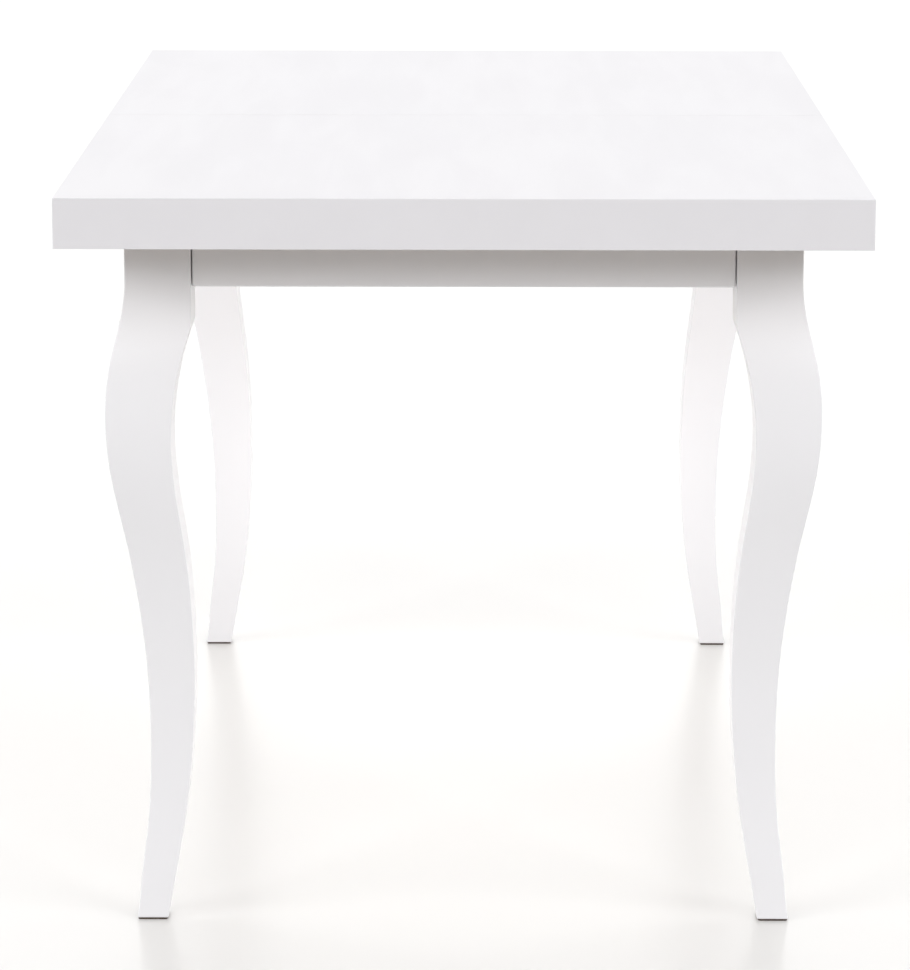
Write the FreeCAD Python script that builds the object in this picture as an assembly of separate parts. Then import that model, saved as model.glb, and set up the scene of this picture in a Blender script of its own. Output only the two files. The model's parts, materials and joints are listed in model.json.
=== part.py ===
import FreeCAD, Part
import os
from math import atan, cos, pi, radians, sin, sqrt, tan

# ---------------------------------------------------------------------------
# Extendable dining table, closed.  Millimetres.
# X across the table, Y along it (front end at -Y), Z up, floor at Z = 0.
# Shapes are made on the right (+X) or at the rear right and mirrored.
# ---------------------------------------------------------------------------
os.makedirs("parts", exist_ok=True)
V = FreeCAD.Vector
X, Y, Z = (1, 0, 0), (0, 1, 0), (0, 0, 1)

# overall
LENGTH = 1400.0
WIDTH = 800.0
HEIGHT = 750.0
TRAVEL = 200.0              # each half of the top slides out this far
FIT = 0.05                  # gap where one part is set against another
BIG = 1000.0                # reach of a cutting box that only has to pass through
OVER = 5.0                  # how far a cutter runs past the face it cuts

# top: a panel with a skirt glued under its closed edges
PANEL_T = 18.0
SLAB_T = 50.0
SKIRT_T = 18.0
SEAM = 0.6
TOP_R = 1.0                 # rounding of the upper edges
LEAF_TOP_R = 0.8
LOW_R = 0.7                 # rounding of the lower edges
CORNER_R = 1.2
PANEL_Z = HEIGHT - PANEL_T
SLAB_Z = HEIGHT - SLAB_T
HALF_X, HALF_Y = WIDTH / 2, LENGTH / 2
IN_X = HALF_X - SKIRT_T
UNDER_PANEL = PANEL_Z - FIT

# alignment pins in the seam and in the leaf
PIN_X = (-320.0, -160.0, 0.0, 160.0, 320.0)
PIN_R = 4.0
PIN_OUT, PIN_IN = 12.0, 15.0
PIN_CHAMFER = 1.0
PIN_Z = HEIGHT - PANEL_T / 2
PRESS_GAP, SLIP_GAP = 0.05, 0.08
SOCKET_SPARE = 2.5          # the receiving hole is this much deeper than the pin

# frame
BLOCK_X0, BLOCK_X1 = 270.0, 336.0
BLOCK_Y0, BLOCK_Y1 = 564.0, 630.0
BLOCK_CHAMFER = 14.0
LEG_TOP = 730.0
APRON_Z0, APRON_Z1 = 652.0, 730.0
APRON_T = 20.0
APRON_R = 2.0
SIDE_APRON_X = 330.0
END_APRON_Y = 627.0
JOINT_GAP = 0.8
APRON_IN_X = SIDE_APRON_X - APRON_T
APRON_IN_Y = END_APRON_Y - APRON_T
SIDE_APRON_END = BLOCK_Y0 - JOINT_GAP
END_APRON_END = BLOCK_X0 - JOINT_GAP

# leg curves: (height, offset outwards from the faces of the block)
PAD_T = 2.0
OUTER = ((660, 0.0), (620, 4.6), (580, 14.2), (520, 19.5), (460, 14.2), (400, 2.3), (320, -10.8),
         (260, -16.9), (180, -19.4), (100, -16.1), (40, -9.0), (PAD_T, -4.5))
INNER = ((612, 0.0), (580, 9.8), (540, 17.6), (498, 20.3), (440, 16.2), (380, 8.1), (320, 3.1),
         (250, 1.2), (180, 3.9), (100, 12.7), (40, 23.1), (PAD_T, 29.6))
OUTER_START = (0, 0, -60)   # the outer curve leaves the block straight down
OUTER_END = (13, 0, -60)    # and reaches the foot kicking outwards
LEG_R = 1.2
SWEEP = 220.0               # the two side views are pushed this far to cross each other
FOOT_CHAMFER = 0.8
PAD_W = 30.0
PAD_R = 2.0

# corner brackets and the bolts that draw the legs in
SHEET = 3.0
BRACKET_Z0, BRACKET_Z1 = 661.0, 723.0
BRACKET_WING_X, BRACKET_WING_Y = 32.0, 30.0
BRACKET_SCREW_Z = (674.0, 710.0)
BRACKET_SCREW_X, BRACKET_SCREW_Y = 222.0, 520.0
BOLT_Z = (676.0, 710.0)
BOLT_R, BOLT_HOLE_R = 3.95, 4.0
BOLT_IN_WOOD, BOLT_LENGTH = 38.0, 62.0
BOLT_END = 0.8
SHEET_HOLE_R = 4.3
WASHER_R, WASHER_HOLE_R, WASHER_T = 9.0, 4.2, 1.6
NUT_R, NUT_T = 7.5, 6.5

# slides: channels on the side aprons, T runners on battens under the panels
CHANNEL_X0, CHANNEL_X1 = 298.0, 310.0
CHANNEL_Z0, CHANNEL_Z1 = 690.0, 726.0
CHANNEL_END = 500.0
CHANNEL_WALL = 2.0
CHANNEL_LIP = 5.0
CHANNEL_SCREW_Y = (-470, -240, -120, 120, 240, 470)
SLIDE_Z = 708.0             # mid height of channel and runner
RUNNER_Y0, RUNNER_Y1 = 5.0, 300.0
NECK_X1, NECK_H = 302.5, 16.0
HEAD_X0, HEAD_X1, HEAD_H = 302.0, 306.0, 25.0
RUNNER_SCREW_Y = (60, 175, 245)
GLIDER_X0, GLIDER_X1, GLIDER_H = 300.5, 307.4, 31.0
GLIDER_Y = ((12, 42), (263, 293))
GLIDER_R = 1.2
GLIDER_GAP = 0.1
BATTEN_X0, BATTEN_X1 = 277.0, 297.0
BATTEN_Z0 = 692.0
BATTEN_Y1 = 335.0
BATTEN_R = 2.0
BATTEN_SCREW_Y = (30, 150, 320)
STOP_HALF_W = 3.5           # middle stop, which both runners close against
STOP_GAP = 0.2
END_STOP_Y0, END_STOP_Y1 = 502.0, 504.5
END_STOP_W, END_STOP_H = 11.0, 28.0

# rack and pinion that make both halves move together
MODULE = 2.0
TEETH = 20
PRESSURE_ANGLE = radians(20)
BACKLASH = 0.15
PITCH_R = MODULE * TEETH / 2
ADDENDUM = 0.95 * MODULE
DEDENDUM = 1.25 * MODULE
RACK_DEDENDUM = 1.2 * MODULE
FLANK_STEPS = 5
PINION_X = 240.0
GEAR_Z0, GEAR_Z1 = 714.0, 726.0
GEAR_T = GEAR_Z1 - GEAR_Z0
PINION_BORE_R = 4.05
PINION_WEB_R, PINION_BOSS_R, PINION_WEB_DEPTH = 14.0, 7.8, 3.0
RACK_IN, RACK_OUT = 160.0, 216.0
RACK_BACK = 10.0            # from the pitch line to the back
RACK_FEET = (RACK_IN - 12, 20.0)
RACK_FOOT_HALF = 10.0
RACK_SCREW_IN = 6.2         # from the pitch line
TOOTH_REACH = 16.0          # teeth run on past the travel by this much
POST_HALF_X, POST_HALF_Y, POST_R = 17.0, 20.0, 3.0
POST_TOP = GEAR_Z0 - 0.4
POST_SCREW_X, POST_SCREW_Y = 11.0, 14.0
AXLE_R, AXLE_HOLE_R = 4.0, 4.03
AXLE_IN_RAIL = 12.0
AXLE_HEAD_R, AXLE_HEAD_T, AXLE_HEAD_GAP = 7.0, 2.8, 0.3
AXLE_HEX_R, AXLE_HEX_DEPTH = 2.9, 1.7

# cross rails and the leaf that lies on them
CROSS_Y = (-300.0, 0.0, 300.0)
CROSS_W = 60.0
CROSS_Z0, CROSS_Z1 = 656.5, 675.0
CROSS_R = 2.0
TENON_IN, TENON_HALF_W = 10.0, 18.0
TENON_Z0, TENON_Z1 = 661.0, 669.0
TENON_GAP = 0.1
LEAF_W = 400.0
LEAF_Z = 677.2
FELT_X0, FELT_X1, FELT_HALF_W, FELT_T = 60.0, 190.0, 12.0, 2.0
GUIDE_X0, GUIDE_X1, GUIDE_HALF_W, GUIDE_H, GUIDE_R = 201.5, 209.5, 20.0, 6.0, 1.2

# catches that pull the halves together
CATCH_X = 356.0
CATCH_Z = 721.0
CATCH_Y = -25.0             # hook pivot, on the front half
STRIKE_Y = 20.0             # strike pin, on the rear half
CATCH_HALF_W = 7.0
CATCH_SHEET = 2.4
CATCH_PIN_R, CATCH_HOLE_R = 2.5, 2.55
CATCH_HEAD_R, CATCH_HEAD_T = 4.0, 1.2
HOOK_HALF_T = 2.0
HOOK_BOSS_R, HOOK_END_R = 7.0, 7.5
HOOK_HALF_H, TAB_HALF_H, TAB_LENGTH, TAB_R = 5.0, 3.5, 20.0, 1.5
HOOK_SLOT_R = 2.9
HOOK_SLOT_Y, HOOK_SLOT_Z = 12.0, 15.0
BRACKET_BACK, BRACKET_FRONT = 26.0, 12.0
BRACKET_EAR, BRACKET_DROP = 9.0, 7.0
STRIKE_SHEET = 1.4
STRIKE_FRONT, STRIKE_BACK = 9.0, 28.0
STRIKE_EAR_FRONT, STRIKE_EAR_BACK, STRIKE_DROP = 6.0, 10.0, 4.0
BRACKET_SCREW_AT = CATCH_Y - 19.0
STRIKE_SCREW_AT = STRIKE_Y + 20.0

# screws: nominal diameter and length
BATTEN_SCREW = (4.5, 54.0)
RUNNER_SCREW = (4.0, 22.0)
RACK_SCREW = (3.5, 28.0)
CATCH_SCREW = (3.5, 14.0)
STRIKE_SCREW = (3.5, 13.0)
BRACKET_SCREW = (4.0, 17.0)
CHANNEL_SCREW = (3.0, 15.0)
POST_SCREW = (4.0, 34.0)
HEAD_RIM, POINT_R = 0.4, 0.15
HEAD_DEPTH = 0.55           # this and the cross slot are parts of the diameter
SLOT_LENGTH, SLOT_HALF_W, SLOT_DEPTH = 0.9, 0.09, 0.35
SCREW_GAP = 0.06


# ---------------------------------------------------------------------------
# helpers
# ---------------------------------------------------------------------------
def box(x0, x1, y0, y1, z0, z1):
    return Part.makeBox(x1 - x0, y1 - y0, z1 - z0, V(x0, y0, z0))


def cyl(r, h, at, axis):
    return Part.makeCylinder(r, h, V(*at), V(*axis))


def polygon(points):
    pts = [V(*p) for p in points]
    return Part.Face(Part.makePolygon(pts + [pts[0]]))


def prism(points, depth):
    """closed outline pushed along the vector depth"""
    return polygon(points).extrude(V(*depth))


def hexagon(r, at=(0, 0, 0)):
    turns = [radians(60 * i) for i in range(6)]
    return polygon([(at[0] + r * cos(a), at[1] + r * sin(a), at[2]) for a in turns])


def fuse(shapes):
    return shapes[0].multiFuse(shapes[1:]).removeSplitter()


def group(shapes):
    return Part.makeCompound(shapes)


def mirror_x(shape):
    return shape.mirror(V(0, 0, 0), V(*X))


def mirror_y(shape):
    return shape.mirror(V(0, 0, 0), V(*Y))


def pair(shape):
    """the right-hand shape and its mirror image"""
    return group([shape, mirror_x(shape)])


def corners(shape):
    """the rear right shape in all four corners, by name"""
    return {"rear_right": shape, "rear_left": mirror_x(shape),
            "front_right": mirror_y(shape), "front_left": mirror_x(mirror_y(shape))}


def four(shape):
    return group(list(corners(shape).values()))


def place(shape, at, axis):
    """turn a shape made along +Z to lie along axis from the point at"""
    shape.Placement = FreeCAD.Placement(V(*at), FreeCAD.Rotation(V(*Z), V(*axis)))
    return shape


def is_line(edge, axis):
    if edge.Curve.TypeId != "Part::GeomLine":
        return False
    return abs(abs(edge.Curve.Direction.dot(V(*axis))) - 1) < 1e-6


def is_circle(edge):
    return edge.Curve.TypeId == "Part::GeomCircle"


def save(name, shape):
    shape.exportStep("parts/" + name + ".step")
    b = shape.optimalBoundingBox(False)
    valid = "" if shape.isValid() else "  NOT VALID"
    print("%-22s %3d solids  x %7.1f %7.1f  y %7.1f %7.1f  z %6.1f %6.1f%s" % (
        name, len(shape.Solids), b.XMin, b.XMax, b.YMin, b.YMax, b.ZMin, b.ZMax, valid))


def screw(at, axis, size, gap=0.0):
    """countersunk screw with its head face at the point at; a gap makes its hole instead"""
    d, length = size
    head_r, shank_r = d + gap, d / 2 + gap
    start = -0.02 if gap else 0.0
    outline = [(0, 0, start), (head_r, 0, start), (head_r, 0, HEAD_RIM), (shank_r, 0, HEAD_DEPTH * d),
               (shank_r, 0, length - d), (POINT_R, 0, length + gap), (0, 0, length + gap)]
    body = polygon(outline).revolve(V(0, 0, 0), V(*Z), 360)
    if not gap:
        long, half, deep = SLOT_LENGTH * d / 2, SLOT_HALF_W * d, SLOT_DEPTH * d
        body = body.cut(fuse([box(-long, long, -half, half, -1, deep),
                              box(-half, half, -long, long, -1, deep)]))
    return place(body, at, axis)


def screws(places):
    """places: (at, axis, size) of each screw -> all the screws, all their holes"""
    return group([screw(*p) for p in places]), group([screw(*p, gap=SCREW_GAP) for p in places])


# ---------------------------------------------------------------------------
# panels and skirts
# ---------------------------------------------------------------------------
def slab(x0, x1, y0, y1, z0, open_sides, top_r):
    """panel and the skirt ring under its closed sides; open_sides names those with no skirt"""
    z1 = z0 + SLAB_T
    split = z1 - PANEL_T
    sides = {"x0": (0, x0), "x1": (0, x1), "y0": (1, y0), "y1": (1, y1)}

    def on_open_side(edge):
        return any(all(abs(v.Point[sides[s][0]] - sides[s][1]) < 0.1 for v in edge.Vertexes)
                   for s in open_sides)

    body = box(x0, x1, y0, y1, z0, z1)
    upright = [e for e in body.Edges if is_line(e, Z) and not on_open_side(e)]
    if upright:
        body = body.makeFillet(CORNER_R, upright)
    body = body.makeFillet(top_r, [e for e in body.Edges if e.BoundBox.ZMin > z1 - 0.01])
    body = body.makeFillet(LOW_R, [e for e in body.Edges
                                   if e.BoundBox.ZMax < z0 + 0.01 and not on_open_side(e)])
    step = {s: -OVER if s in open_sides else SKIRT_T for s in sides}
    body = body.cut(box(x0 + step["x0"], x1 - step["x1"], y0 + step["y0"], y1 - step["y1"],
                        z0 - OVER, split))
    panel = body.common(box(-BIG, BIG, -BIG, BIG, split, z1 + OVER))
    ring = body.common(box(-BIG, BIG, -BIG, BIG, z0 - OVER, split))
    return panel, ring


def mitred(ring, points):
    """the part of a skirt ring over a four-sided area, cut at the mitres"""
    return ring.common(prism([(x, y, SLAB_Z - OVER) for x, y in points], (0, 0, SLAB_T)))


def half_top(side):
    """side -1 is the front half, +1 the rear half"""
    near, far = SEAM / 2, HALF_Y
    if side < 0:
        panel, ring = slab(-HALF_X, HALF_X, -far, -near, SLAB_Z, ("y1",), TOP_R)
    else:
        panel, ring = slab(-HALF_X, HALF_X, near, far, SLAB_Z, ("y0",), TOP_R)
    out_x, out_y = HALF_X + OVER, side * (HALF_Y + OVER)
    in_y = side * (HALF_Y - SKIRT_T)
    end = mitred(ring, [(-out_x, out_y), (out_x, out_y), (IN_X, in_y), (-IN_X, in_y)])
    left = mitred(ring, [(-out_x, out_y), (-IN_X, in_y), (-IN_X, 0), (-out_x, 0)])
    right = mitred(ring, [(out_x, out_y), (IN_X, in_y), (IN_X, 0), (out_x, 0)])
    return panel, end, left, right


def seam_pin(at, axis):
    body = cyl(PIN_R, PIN_OUT + PIN_IN, at, axis)
    return body.makeChamfer(PIN_CHAMFER, [e for e in body.Edges if is_circle(e)])


def press_hole(at, axis):
    return cyl(PIN_R + PRESS_GAP, PIN_IN + 1, at, axis)


def slip_hole(at, axis):
    return cyl(PIN_R + SLIP_GAP, PIN_OUT + SOCKET_SPARE, at, axis)


# ---------------------------------------------------------------------------
# runners, gliders and battens
# ---------------------------------------------------------------------------
def runner():
    """T section: its neck stands on the batten, its head runs in the channel"""
    neck = box(BATTEN_X1, NECK_X1, RUNNER_Y0, RUNNER_Y1, SLIDE_Z - NECK_H / 2, SLIDE_Z + NECK_H / 2)
    head = box(HEAD_X0, HEAD_X1, RUNNER_Y0, RUNNER_Y1, SLIDE_Z - HEAD_H / 2, SLIDE_Z + HEAD_H / 2)
    return fuse([neck, head])


def glider(y0, y1):
    """nylon shoe round the head of the runner"""
    g = GLIDER_GAP
    body = box(GLIDER_X0, GLIDER_X1, y0, y1, SLIDE_Z - GLIDER_H / 2, SLIDE_Z + GLIDER_H / 2)
    body = body.makeFillet(GLIDER_R, [e for e in body.Edges if is_line(e, X)])
    head = box(HEAD_X0 - g, HEAD_X1 + g, y0 - 1, y1 + 1, SLIDE_Z - HEAD_H / 2 - g, SLIDE_Z + HEAD_H / 2 + g)
    neck = box(GLIDER_X0 - 1, NECK_X1, y0 - 1, y1 + 1, SLIDE_Z - NECK_H / 2 - g, SLIDE_Z + NECK_H / 2 + g)
    return body.cut(head).cut(neck)


def batten():
    body = box(BATTEN_X0, BATTEN_X1 - FIT, RUNNER_Y0, BATTEN_Y1, BATTEN_Z0, UNDER_PANEL)
    return body.makeFillet(BATTEN_R, [e for e in body.Edges if is_line(e, Y)
                                      and e.CenterOfMass.z < BATTEN_Z0 + 1])


def slide_screws():
    """three up through the batten, three through the head of the runner"""
    x = (BATTEN_X0 + BATTEN_X1) / 2
    up = [((x, y, BATTEN_Z0), Z, BATTEN_SCREW) for y in BATTEN_SCREW_Y]
    across = [((HEAD_X1, y, SLIDE_Z), (-1, 0, 0), RUNNER_SCREW) for y in RUNNER_SCREW_Y]
    return up + across


# ---------------------------------------------------------------------------
# pinions and racks
# ---------------------------------------------------------------------------
def polar(r, a):
    return V(r * cos(a), r * sin(a), 0)


def flank(turn, sign, base_r, tip_r, half_angle):
    """points along one involute flank of the tooth at the angle turn, root first"""
    start_r = max(base_r, PITCH_R - DEDENDUM)
    points = []
    for i in range(FLANK_STEPS + 1):
        r = start_r + (tip_r - start_r) * i / FLANK_STEPS
        t = sqrt(max((r / base_r) ** 2 - 1, 0.0))
        points.append(polar(r, turn + sign * (half_angle - (t - atan(t)))))
    return points


def spline(points):
    curve = Part.BSplineCurve()
    curve.interpolate(points)
    return curve.toShape()


def gear_outline():
    base_r = PITCH_R * cos(PRESSURE_ANGLE)
    tip_r = PITCH_R + ADDENDUM
    root_r = PITCH_R - DEDENDUM
    half_angle = (pi * MODULE / 2 - BACKLASH) / (2 * PITCH_R) + tan(PRESSURE_ANGLE) - PRESSURE_ANGLE
    edges = []
    for n in range(TEETH):
        turn = 2 * pi * n / TEETH
        low = flank(turn, -1, base_r, tip_r, half_angle)
        high = flank(turn, 1, base_r, tip_r, half_angle)
        root_in = polar(root_r, turn - half_angle)
        root_out = polar(root_r, turn + half_angle)
        next_root = polar(root_r, turn + 2 * pi / TEETH - half_angle)
        edges += [Part.LineSegment(root_in, low[0]).toShape(),
                  spline(low),
                  Part.Arc(low[-1], polar(tip_r, turn), high[-1]).toShape(),
                  spline(high[::-1]),
                  Part.LineSegment(high[0], root_out).toShape(),
                  Part.Arc(root_out, polar(root_r, turn + pi / TEETH), next_root).toShape()]
    return Part.Wire(Part.__sortEdges__(edges))


def pinion():
    body = Part.Face(gear_outline()).extrude(V(0, 0, GEAR_T))
    body = body.cut(cyl(PINION_BORE_R, GEAR_T + 2, (0, 0, -1), Z))
    web_z = GEAR_T - PINION_WEB_DEPTH
    web = cyl(PINION_WEB_R, PINION_WEB_DEPTH + 1, (0, 0, web_z), Z)
    body = body.cut(web.cut(cyl(PINION_BOSS_R, PINION_WEB_DEPTH + 3, (0, 0, web_z - 1), Z)))
    body.translate(V(PINION_X, 0, GEAR_Z0))
    return body


def rack(side):
    """the front half's rack (side -1) lies outboard of the pinion, the rear half's inboard"""
    s = -side
    pitch_x = PINION_X + s * PITCH_R
    root_x = pitch_x + s * RACK_DEDENDUM
    tip_x = pitch_x - s * ADDENDUM
    back_x = pitch_x + s * RACK_BACK
    y0, y1 = sorted((side * RACK_IN, -side * RACK_OUT))
    x0, x1 = sorted((root_x, back_x))
    parts = [box(x0, x1, y0, y1, GEAR_Z0, GEAR_Z1)]

    pitch = pi * MODULE
    bury = 0.3
    at_pitch_line = (pitch / 2 - BACKLASH) / 2
    half_root = at_pitch_line + tan(PRESSURE_ANGLE) * (RACK_DEDENDUM + bury)
    half_tip = at_pitch_line - tan(PRESSURE_ANGLE) * ADDENDUM
    teeth_y0, teeth_y1 = sorted((side * TOOTH_REACH, -side * (TRAVEL + TOOTH_REACH)))
    first, last = int(teeth_y0 / pitch) - 1, int(teeth_y1 / pitch) + 1
    for n in range(first, last + 1):
        y = (n + 0.5) * pitch
        if teeth_y0 < y < teeth_y1 and y0 + half_root < y < y1 - half_root:
            root = root_x + s * bury
            parts.append(prism([(root, y - half_root, GEAR_Z0), (root, y + half_root, GEAR_Z0),
                                (tip_x, y + half_tip, GEAR_Z0), (tip_x, y - half_tip, GEAR_Z0)],
                               (0, 0, GEAR_T)))
    for foot_y in RACK_FEET:
        y = side * foot_y
        parts.append(box(x0 + 0.2, x1 - 0.2, y - RACK_FOOT_HALF, y + RACK_FOOT_HALF,
                         GEAR_Z1 - 1, UNDER_PANEL))
    return fuse(parts)


def rack_screws(side):
    x = PINION_X - side * (PITCH_R + RACK_SCREW_IN)
    return [((x, side * y, GEAR_Z0), Z, RACK_SCREW) for y in RACK_FEET]


# ---------------------------------------------------------------------------
# catches
# ---------------------------------------------------------------------------
def ears(y0, y1, z0, z1):
    """the two upright cheeks of a catch bracket"""
    left, right = CATCH_X - CATCH_HALF_W, CATCH_X + CATCH_HALF_W
    return [box(left, left + CATCH_SHEET, y0, y1, z0, z1),
            box(right - CATCH_SHEET, right, y0, y1, z0, z1)]


def catch_bracket():
    """U bracket under the front panel"""
    plate = box(CATCH_X - CATCH_HALF_W, CATCH_X + CATCH_HALF_W, CATCH_Y - BRACKET_BACK,
                CATCH_Y + BRACKET_FRONT, UNDER_PANEL - CATCH_SHEET, UNDER_PANEL)
    body = fuse([plate] + ears(CATCH_Y - BRACKET_EAR, CATCH_Y + BRACKET_EAR,
                               CATCH_Z - BRACKET_DROP, UNDER_PANEL - CATCH_SHEET / 2))
    return body.cut(cyl(CATCH_HOLE_R, 4 * CATCH_HALF_W, (CATCH_X - 2 * CATCH_HALF_W, CATCH_Y, CATCH_Z), X))


def catch_pin():
    """rivet through the bracket and the hook"""
    x0 = CATCH_X - CATCH_HALF_W - CATCH_HEAD_T - 0.1
    x1 = CATCH_X + CATCH_HALF_W + 0.1
    return fuse([cyl(CATCH_PIN_R, x1 + CATCH_HEAD_T - x0, (x0, CATCH_Y, CATCH_Z), X),
                 cyl(CATCH_HEAD_R, CATCH_HEAD_T, (x0, CATCH_Y, CATCH_Z), X),
                 cyl(CATCH_HEAD_R, CATCH_HEAD_T, (x1, CATCH_Y, CATCH_Z), X)])


def hook():
    """swinging hook, parked pointing away from the seam"""
    x0, x1 = CATCH_X - HOOK_HALF_T, CATCH_X + HOOK_HALF_T
    thick = x1 - x0
    reach = STRIKE_Y - CATCH_Y
    end_y = CATCH_Y - reach
    tab_y = end_y - TAB_LENGTH
    body = fuse([cyl(HOOK_BOSS_R, thick, (x0, CATCH_Y, CATCH_Z), X),
                 box(x0, x1, end_y, CATCH_Y, CATCH_Z - HOOK_HALF_H, CATCH_Z + HOOK_HALF_H),
                 cyl(HOOK_END_R, thick, (x0, end_y, CATCH_Z), X),
                 box(x0, x1, tab_y, end_y, CATCH_Z - TAB_HALF_H, CATCH_Z + TAB_HALF_H)])
    body = body.makeFillet(TAB_R, [e for e in body.Edges if is_line(e, X) and e.CenterOfMass.y < tab_y + 1])
    body = body.cut(cyl(CATCH_HOLE_R, thick + 4, (x0 - 2, CATCH_Y, CATCH_Z), X))
    # the slot runs round the pivot and opens on the side the hook arrives from
    slot = cyl(reach + HOOK_SLOT_R, thick + 4, (x0 - 2, CATCH_Y, CATCH_Z), X)
    slot = slot.cut(cyl(reach - HOOK_SLOT_R, thick + 8, (x0 - 4, CATCH_Y, CATCH_Z), X))
    slot = slot.common(box(x0 - 2, x1 + 2, end_y - HOOK_SLOT_Y, end_y + HOOK_SLOT_Y,
                           CATCH_Z - HOOK_SLOT_Z, CATCH_Z))
    return body.cut(slot).cut(cyl(HOOK_SLOT_R, thick + 4, (x0 - 2, end_y, CATCH_Z), X))


def strike():
    """U bracket with its cross pin under the rear panel"""
    plate = box(CATCH_X - CATCH_HALF_W, CATCH_X + CATCH_HALF_W, STRIKE_Y - STRIKE_FRONT,
                STRIKE_Y + STRIKE_BACK, UNDER_PANEL - STRIKE_SHEET, UNDER_PANEL)
    pin = cyl(CATCH_PIN_R, 2 * CATCH_HALF_W - 1, (CATCH_X - CATCH_HALF_W + 0.5, STRIKE_Y, CATCH_Z), X)
    return fuse([plate, pin] + ears(STRIKE_Y - STRIKE_EAR_FRONT, STRIKE_Y + STRIKE_EAR_BACK,
                                    CATCH_Z - STRIKE_DROP, UNDER_PANEL - STRIKE_SHEET / 2))


def catch_screw(side):
    if side < 0:
        return ((CATCH_X, BRACKET_SCREW_AT, UNDER_PANEL - CATCH_SHEET), Z, CATCH_SCREW)
    return ((CATCH_X, STRIKE_SCREW_AT, UNDER_PANEL - STRIKE_SHEET), Z, STRIKE_SCREW)


# ---------------------------------------------------------------------------
# the two halves of the top
# ---------------------------------------------------------------------------
def front_fittings(panel, holes):
    """catches and seam pins of the front half; returns the drilled panel"""
    bracket = catch_bracket().cut(holes)
    save("catch_brackets", pair(bracket))
    save("catch_pins", pair(catch_pin()))
    save("right_catch_hook", hook())
    save("left_catch_hook", mirror_x(hook()))
    pins = []
    for x in PIN_X:
        pins.append(seam_pin((x, -SEAM / 2 + PIN_OUT, PIN_Z), (0, -1, 0)))
        panel = panel.cut(press_hole((x, 0, PIN_Z), (0, -1, 0)))
    save("seam_pins", group(pins))
    return panel


def rear_fittings(panel, holes):
    """strikes and pin sockets of the rear half; returns the drilled panel"""
    bracket = strike().cut(holes)
    save("catch_strikes", pair(bracket))
    for x in PIN_X:
        panel = panel.cut(slip_hole((x, 0, PIN_Z), Y))
    return panel


def build_half(name, side):
    panel, end, left, right = half_top(side)
    rail, bar = runner(), batten()
    gliders = group([glider(*span) for span in GLIDER_Y])
    places = slide_screws()
    if side < 0:
        rail, bar, gliders = mirror_y(rail), mirror_y(bar), mirror_y(gliders)
        places = [((x, -y, z), axis, size) for (x, y, z), axis, size in places]
    full, holes = screws(places + rack_screws(side) + [catch_screw(side)])
    panel = panel.cut(holes).cut(mirror_x(holes))
    rail, bar, teeth = rail.cut(holes), bar.cut(holes), rack(side).cut(holes)
    panel = front_fittings(panel, holes) if side < 0 else rear_fittings(panel, holes)
    save(name + "_panel", panel)
    save(name + "_end_skirt", end)
    save(name + "_left_skirt", left)
    save(name + "_right_skirt", right)
    save(name + "_battens", pair(bar))
    save(name + "_right_runner", rail)
    save(name + "_left_runner", mirror_x(rail))
    save(name + "_gliders", pair(gliders))
    save(name + "_racks", pair(teeth))
    save(name + "_top_screws", pair(full))


# ---------------------------------------------------------------------------
# leaf, stowed lengthwise and upside down on the cross rails
# ---------------------------------------------------------------------------
def build_leaf():
    """made upright in its stowed direction, then turned over"""
    half_w = LEAF_W / 2
    panel, ring = slab(-half_w, half_w, -HALF_X, HALF_X, 0, ("x0", "x1"), LEAF_TOP_R)
    over = FreeCAD.Placement(V(0, 0, LEAF_Z + SLAB_T), FreeCAD.Rotation(V(*Y), 180))
    panel = panel.transformGeometry(over.toMatrix())
    ring = ring.transformGeometry(over.toMatrix())
    z = LEAF_Z + PANEL_T / 2
    pins = []
    for y in PIN_X:
        panel = panel.cut(press_hole((half_w, y, z), (-1, 0, 0)))
        panel = panel.cut(slip_hole((-half_w, y, z), X))
        pins.append(seam_pin((half_w + PIN_OUT, y, z), (-1, 0, 0)))
    save("leaf_panel", panel)
    save("leaf_front_skirt", ring.common(box(-BIG, BIG, -BIG, 0, 0, BIG)))
    save("leaf_rear_skirt", ring.common(box(-BIG, BIG, 0, BIG, 0, BIG)))
    save("leaf_pins", group(pins))


# ---------------------------------------------------------------------------
# legs
# ---------------------------------------------------------------------------
def leg_outline(face_in, face_out):
    """closed side view of a leg in the XZ plane, from its two curves"""
    outer = [V(face_out + offset, 0, z) for z, offset in OUTER]
    inner = [V(face_in + offset, 0, z) for z, offset in INNER]
    curve = Part.BSplineCurve()
    curve.interpolate(outer, InitialTangent=V(*OUTER_START), FinalTangent=V(*OUTER_END))
    top_in, top_out = V(face_in, 0, LEG_TOP), V(face_out, 0, LEG_TOP)
    edges = [Part.LineSegment(top_in, top_out).toShape(),
             Part.LineSegment(top_out, outer[0]).toShape(),
             curve.toShape(),
             Part.LineSegment(outer[-1], inner[-1]).toShape(),
             spline(inner),
             Part.LineSegment(inner[0], top_in).toShape()]
    return Part.Face(Part.Wire(Part.__sortEdges__(edges)))


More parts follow.
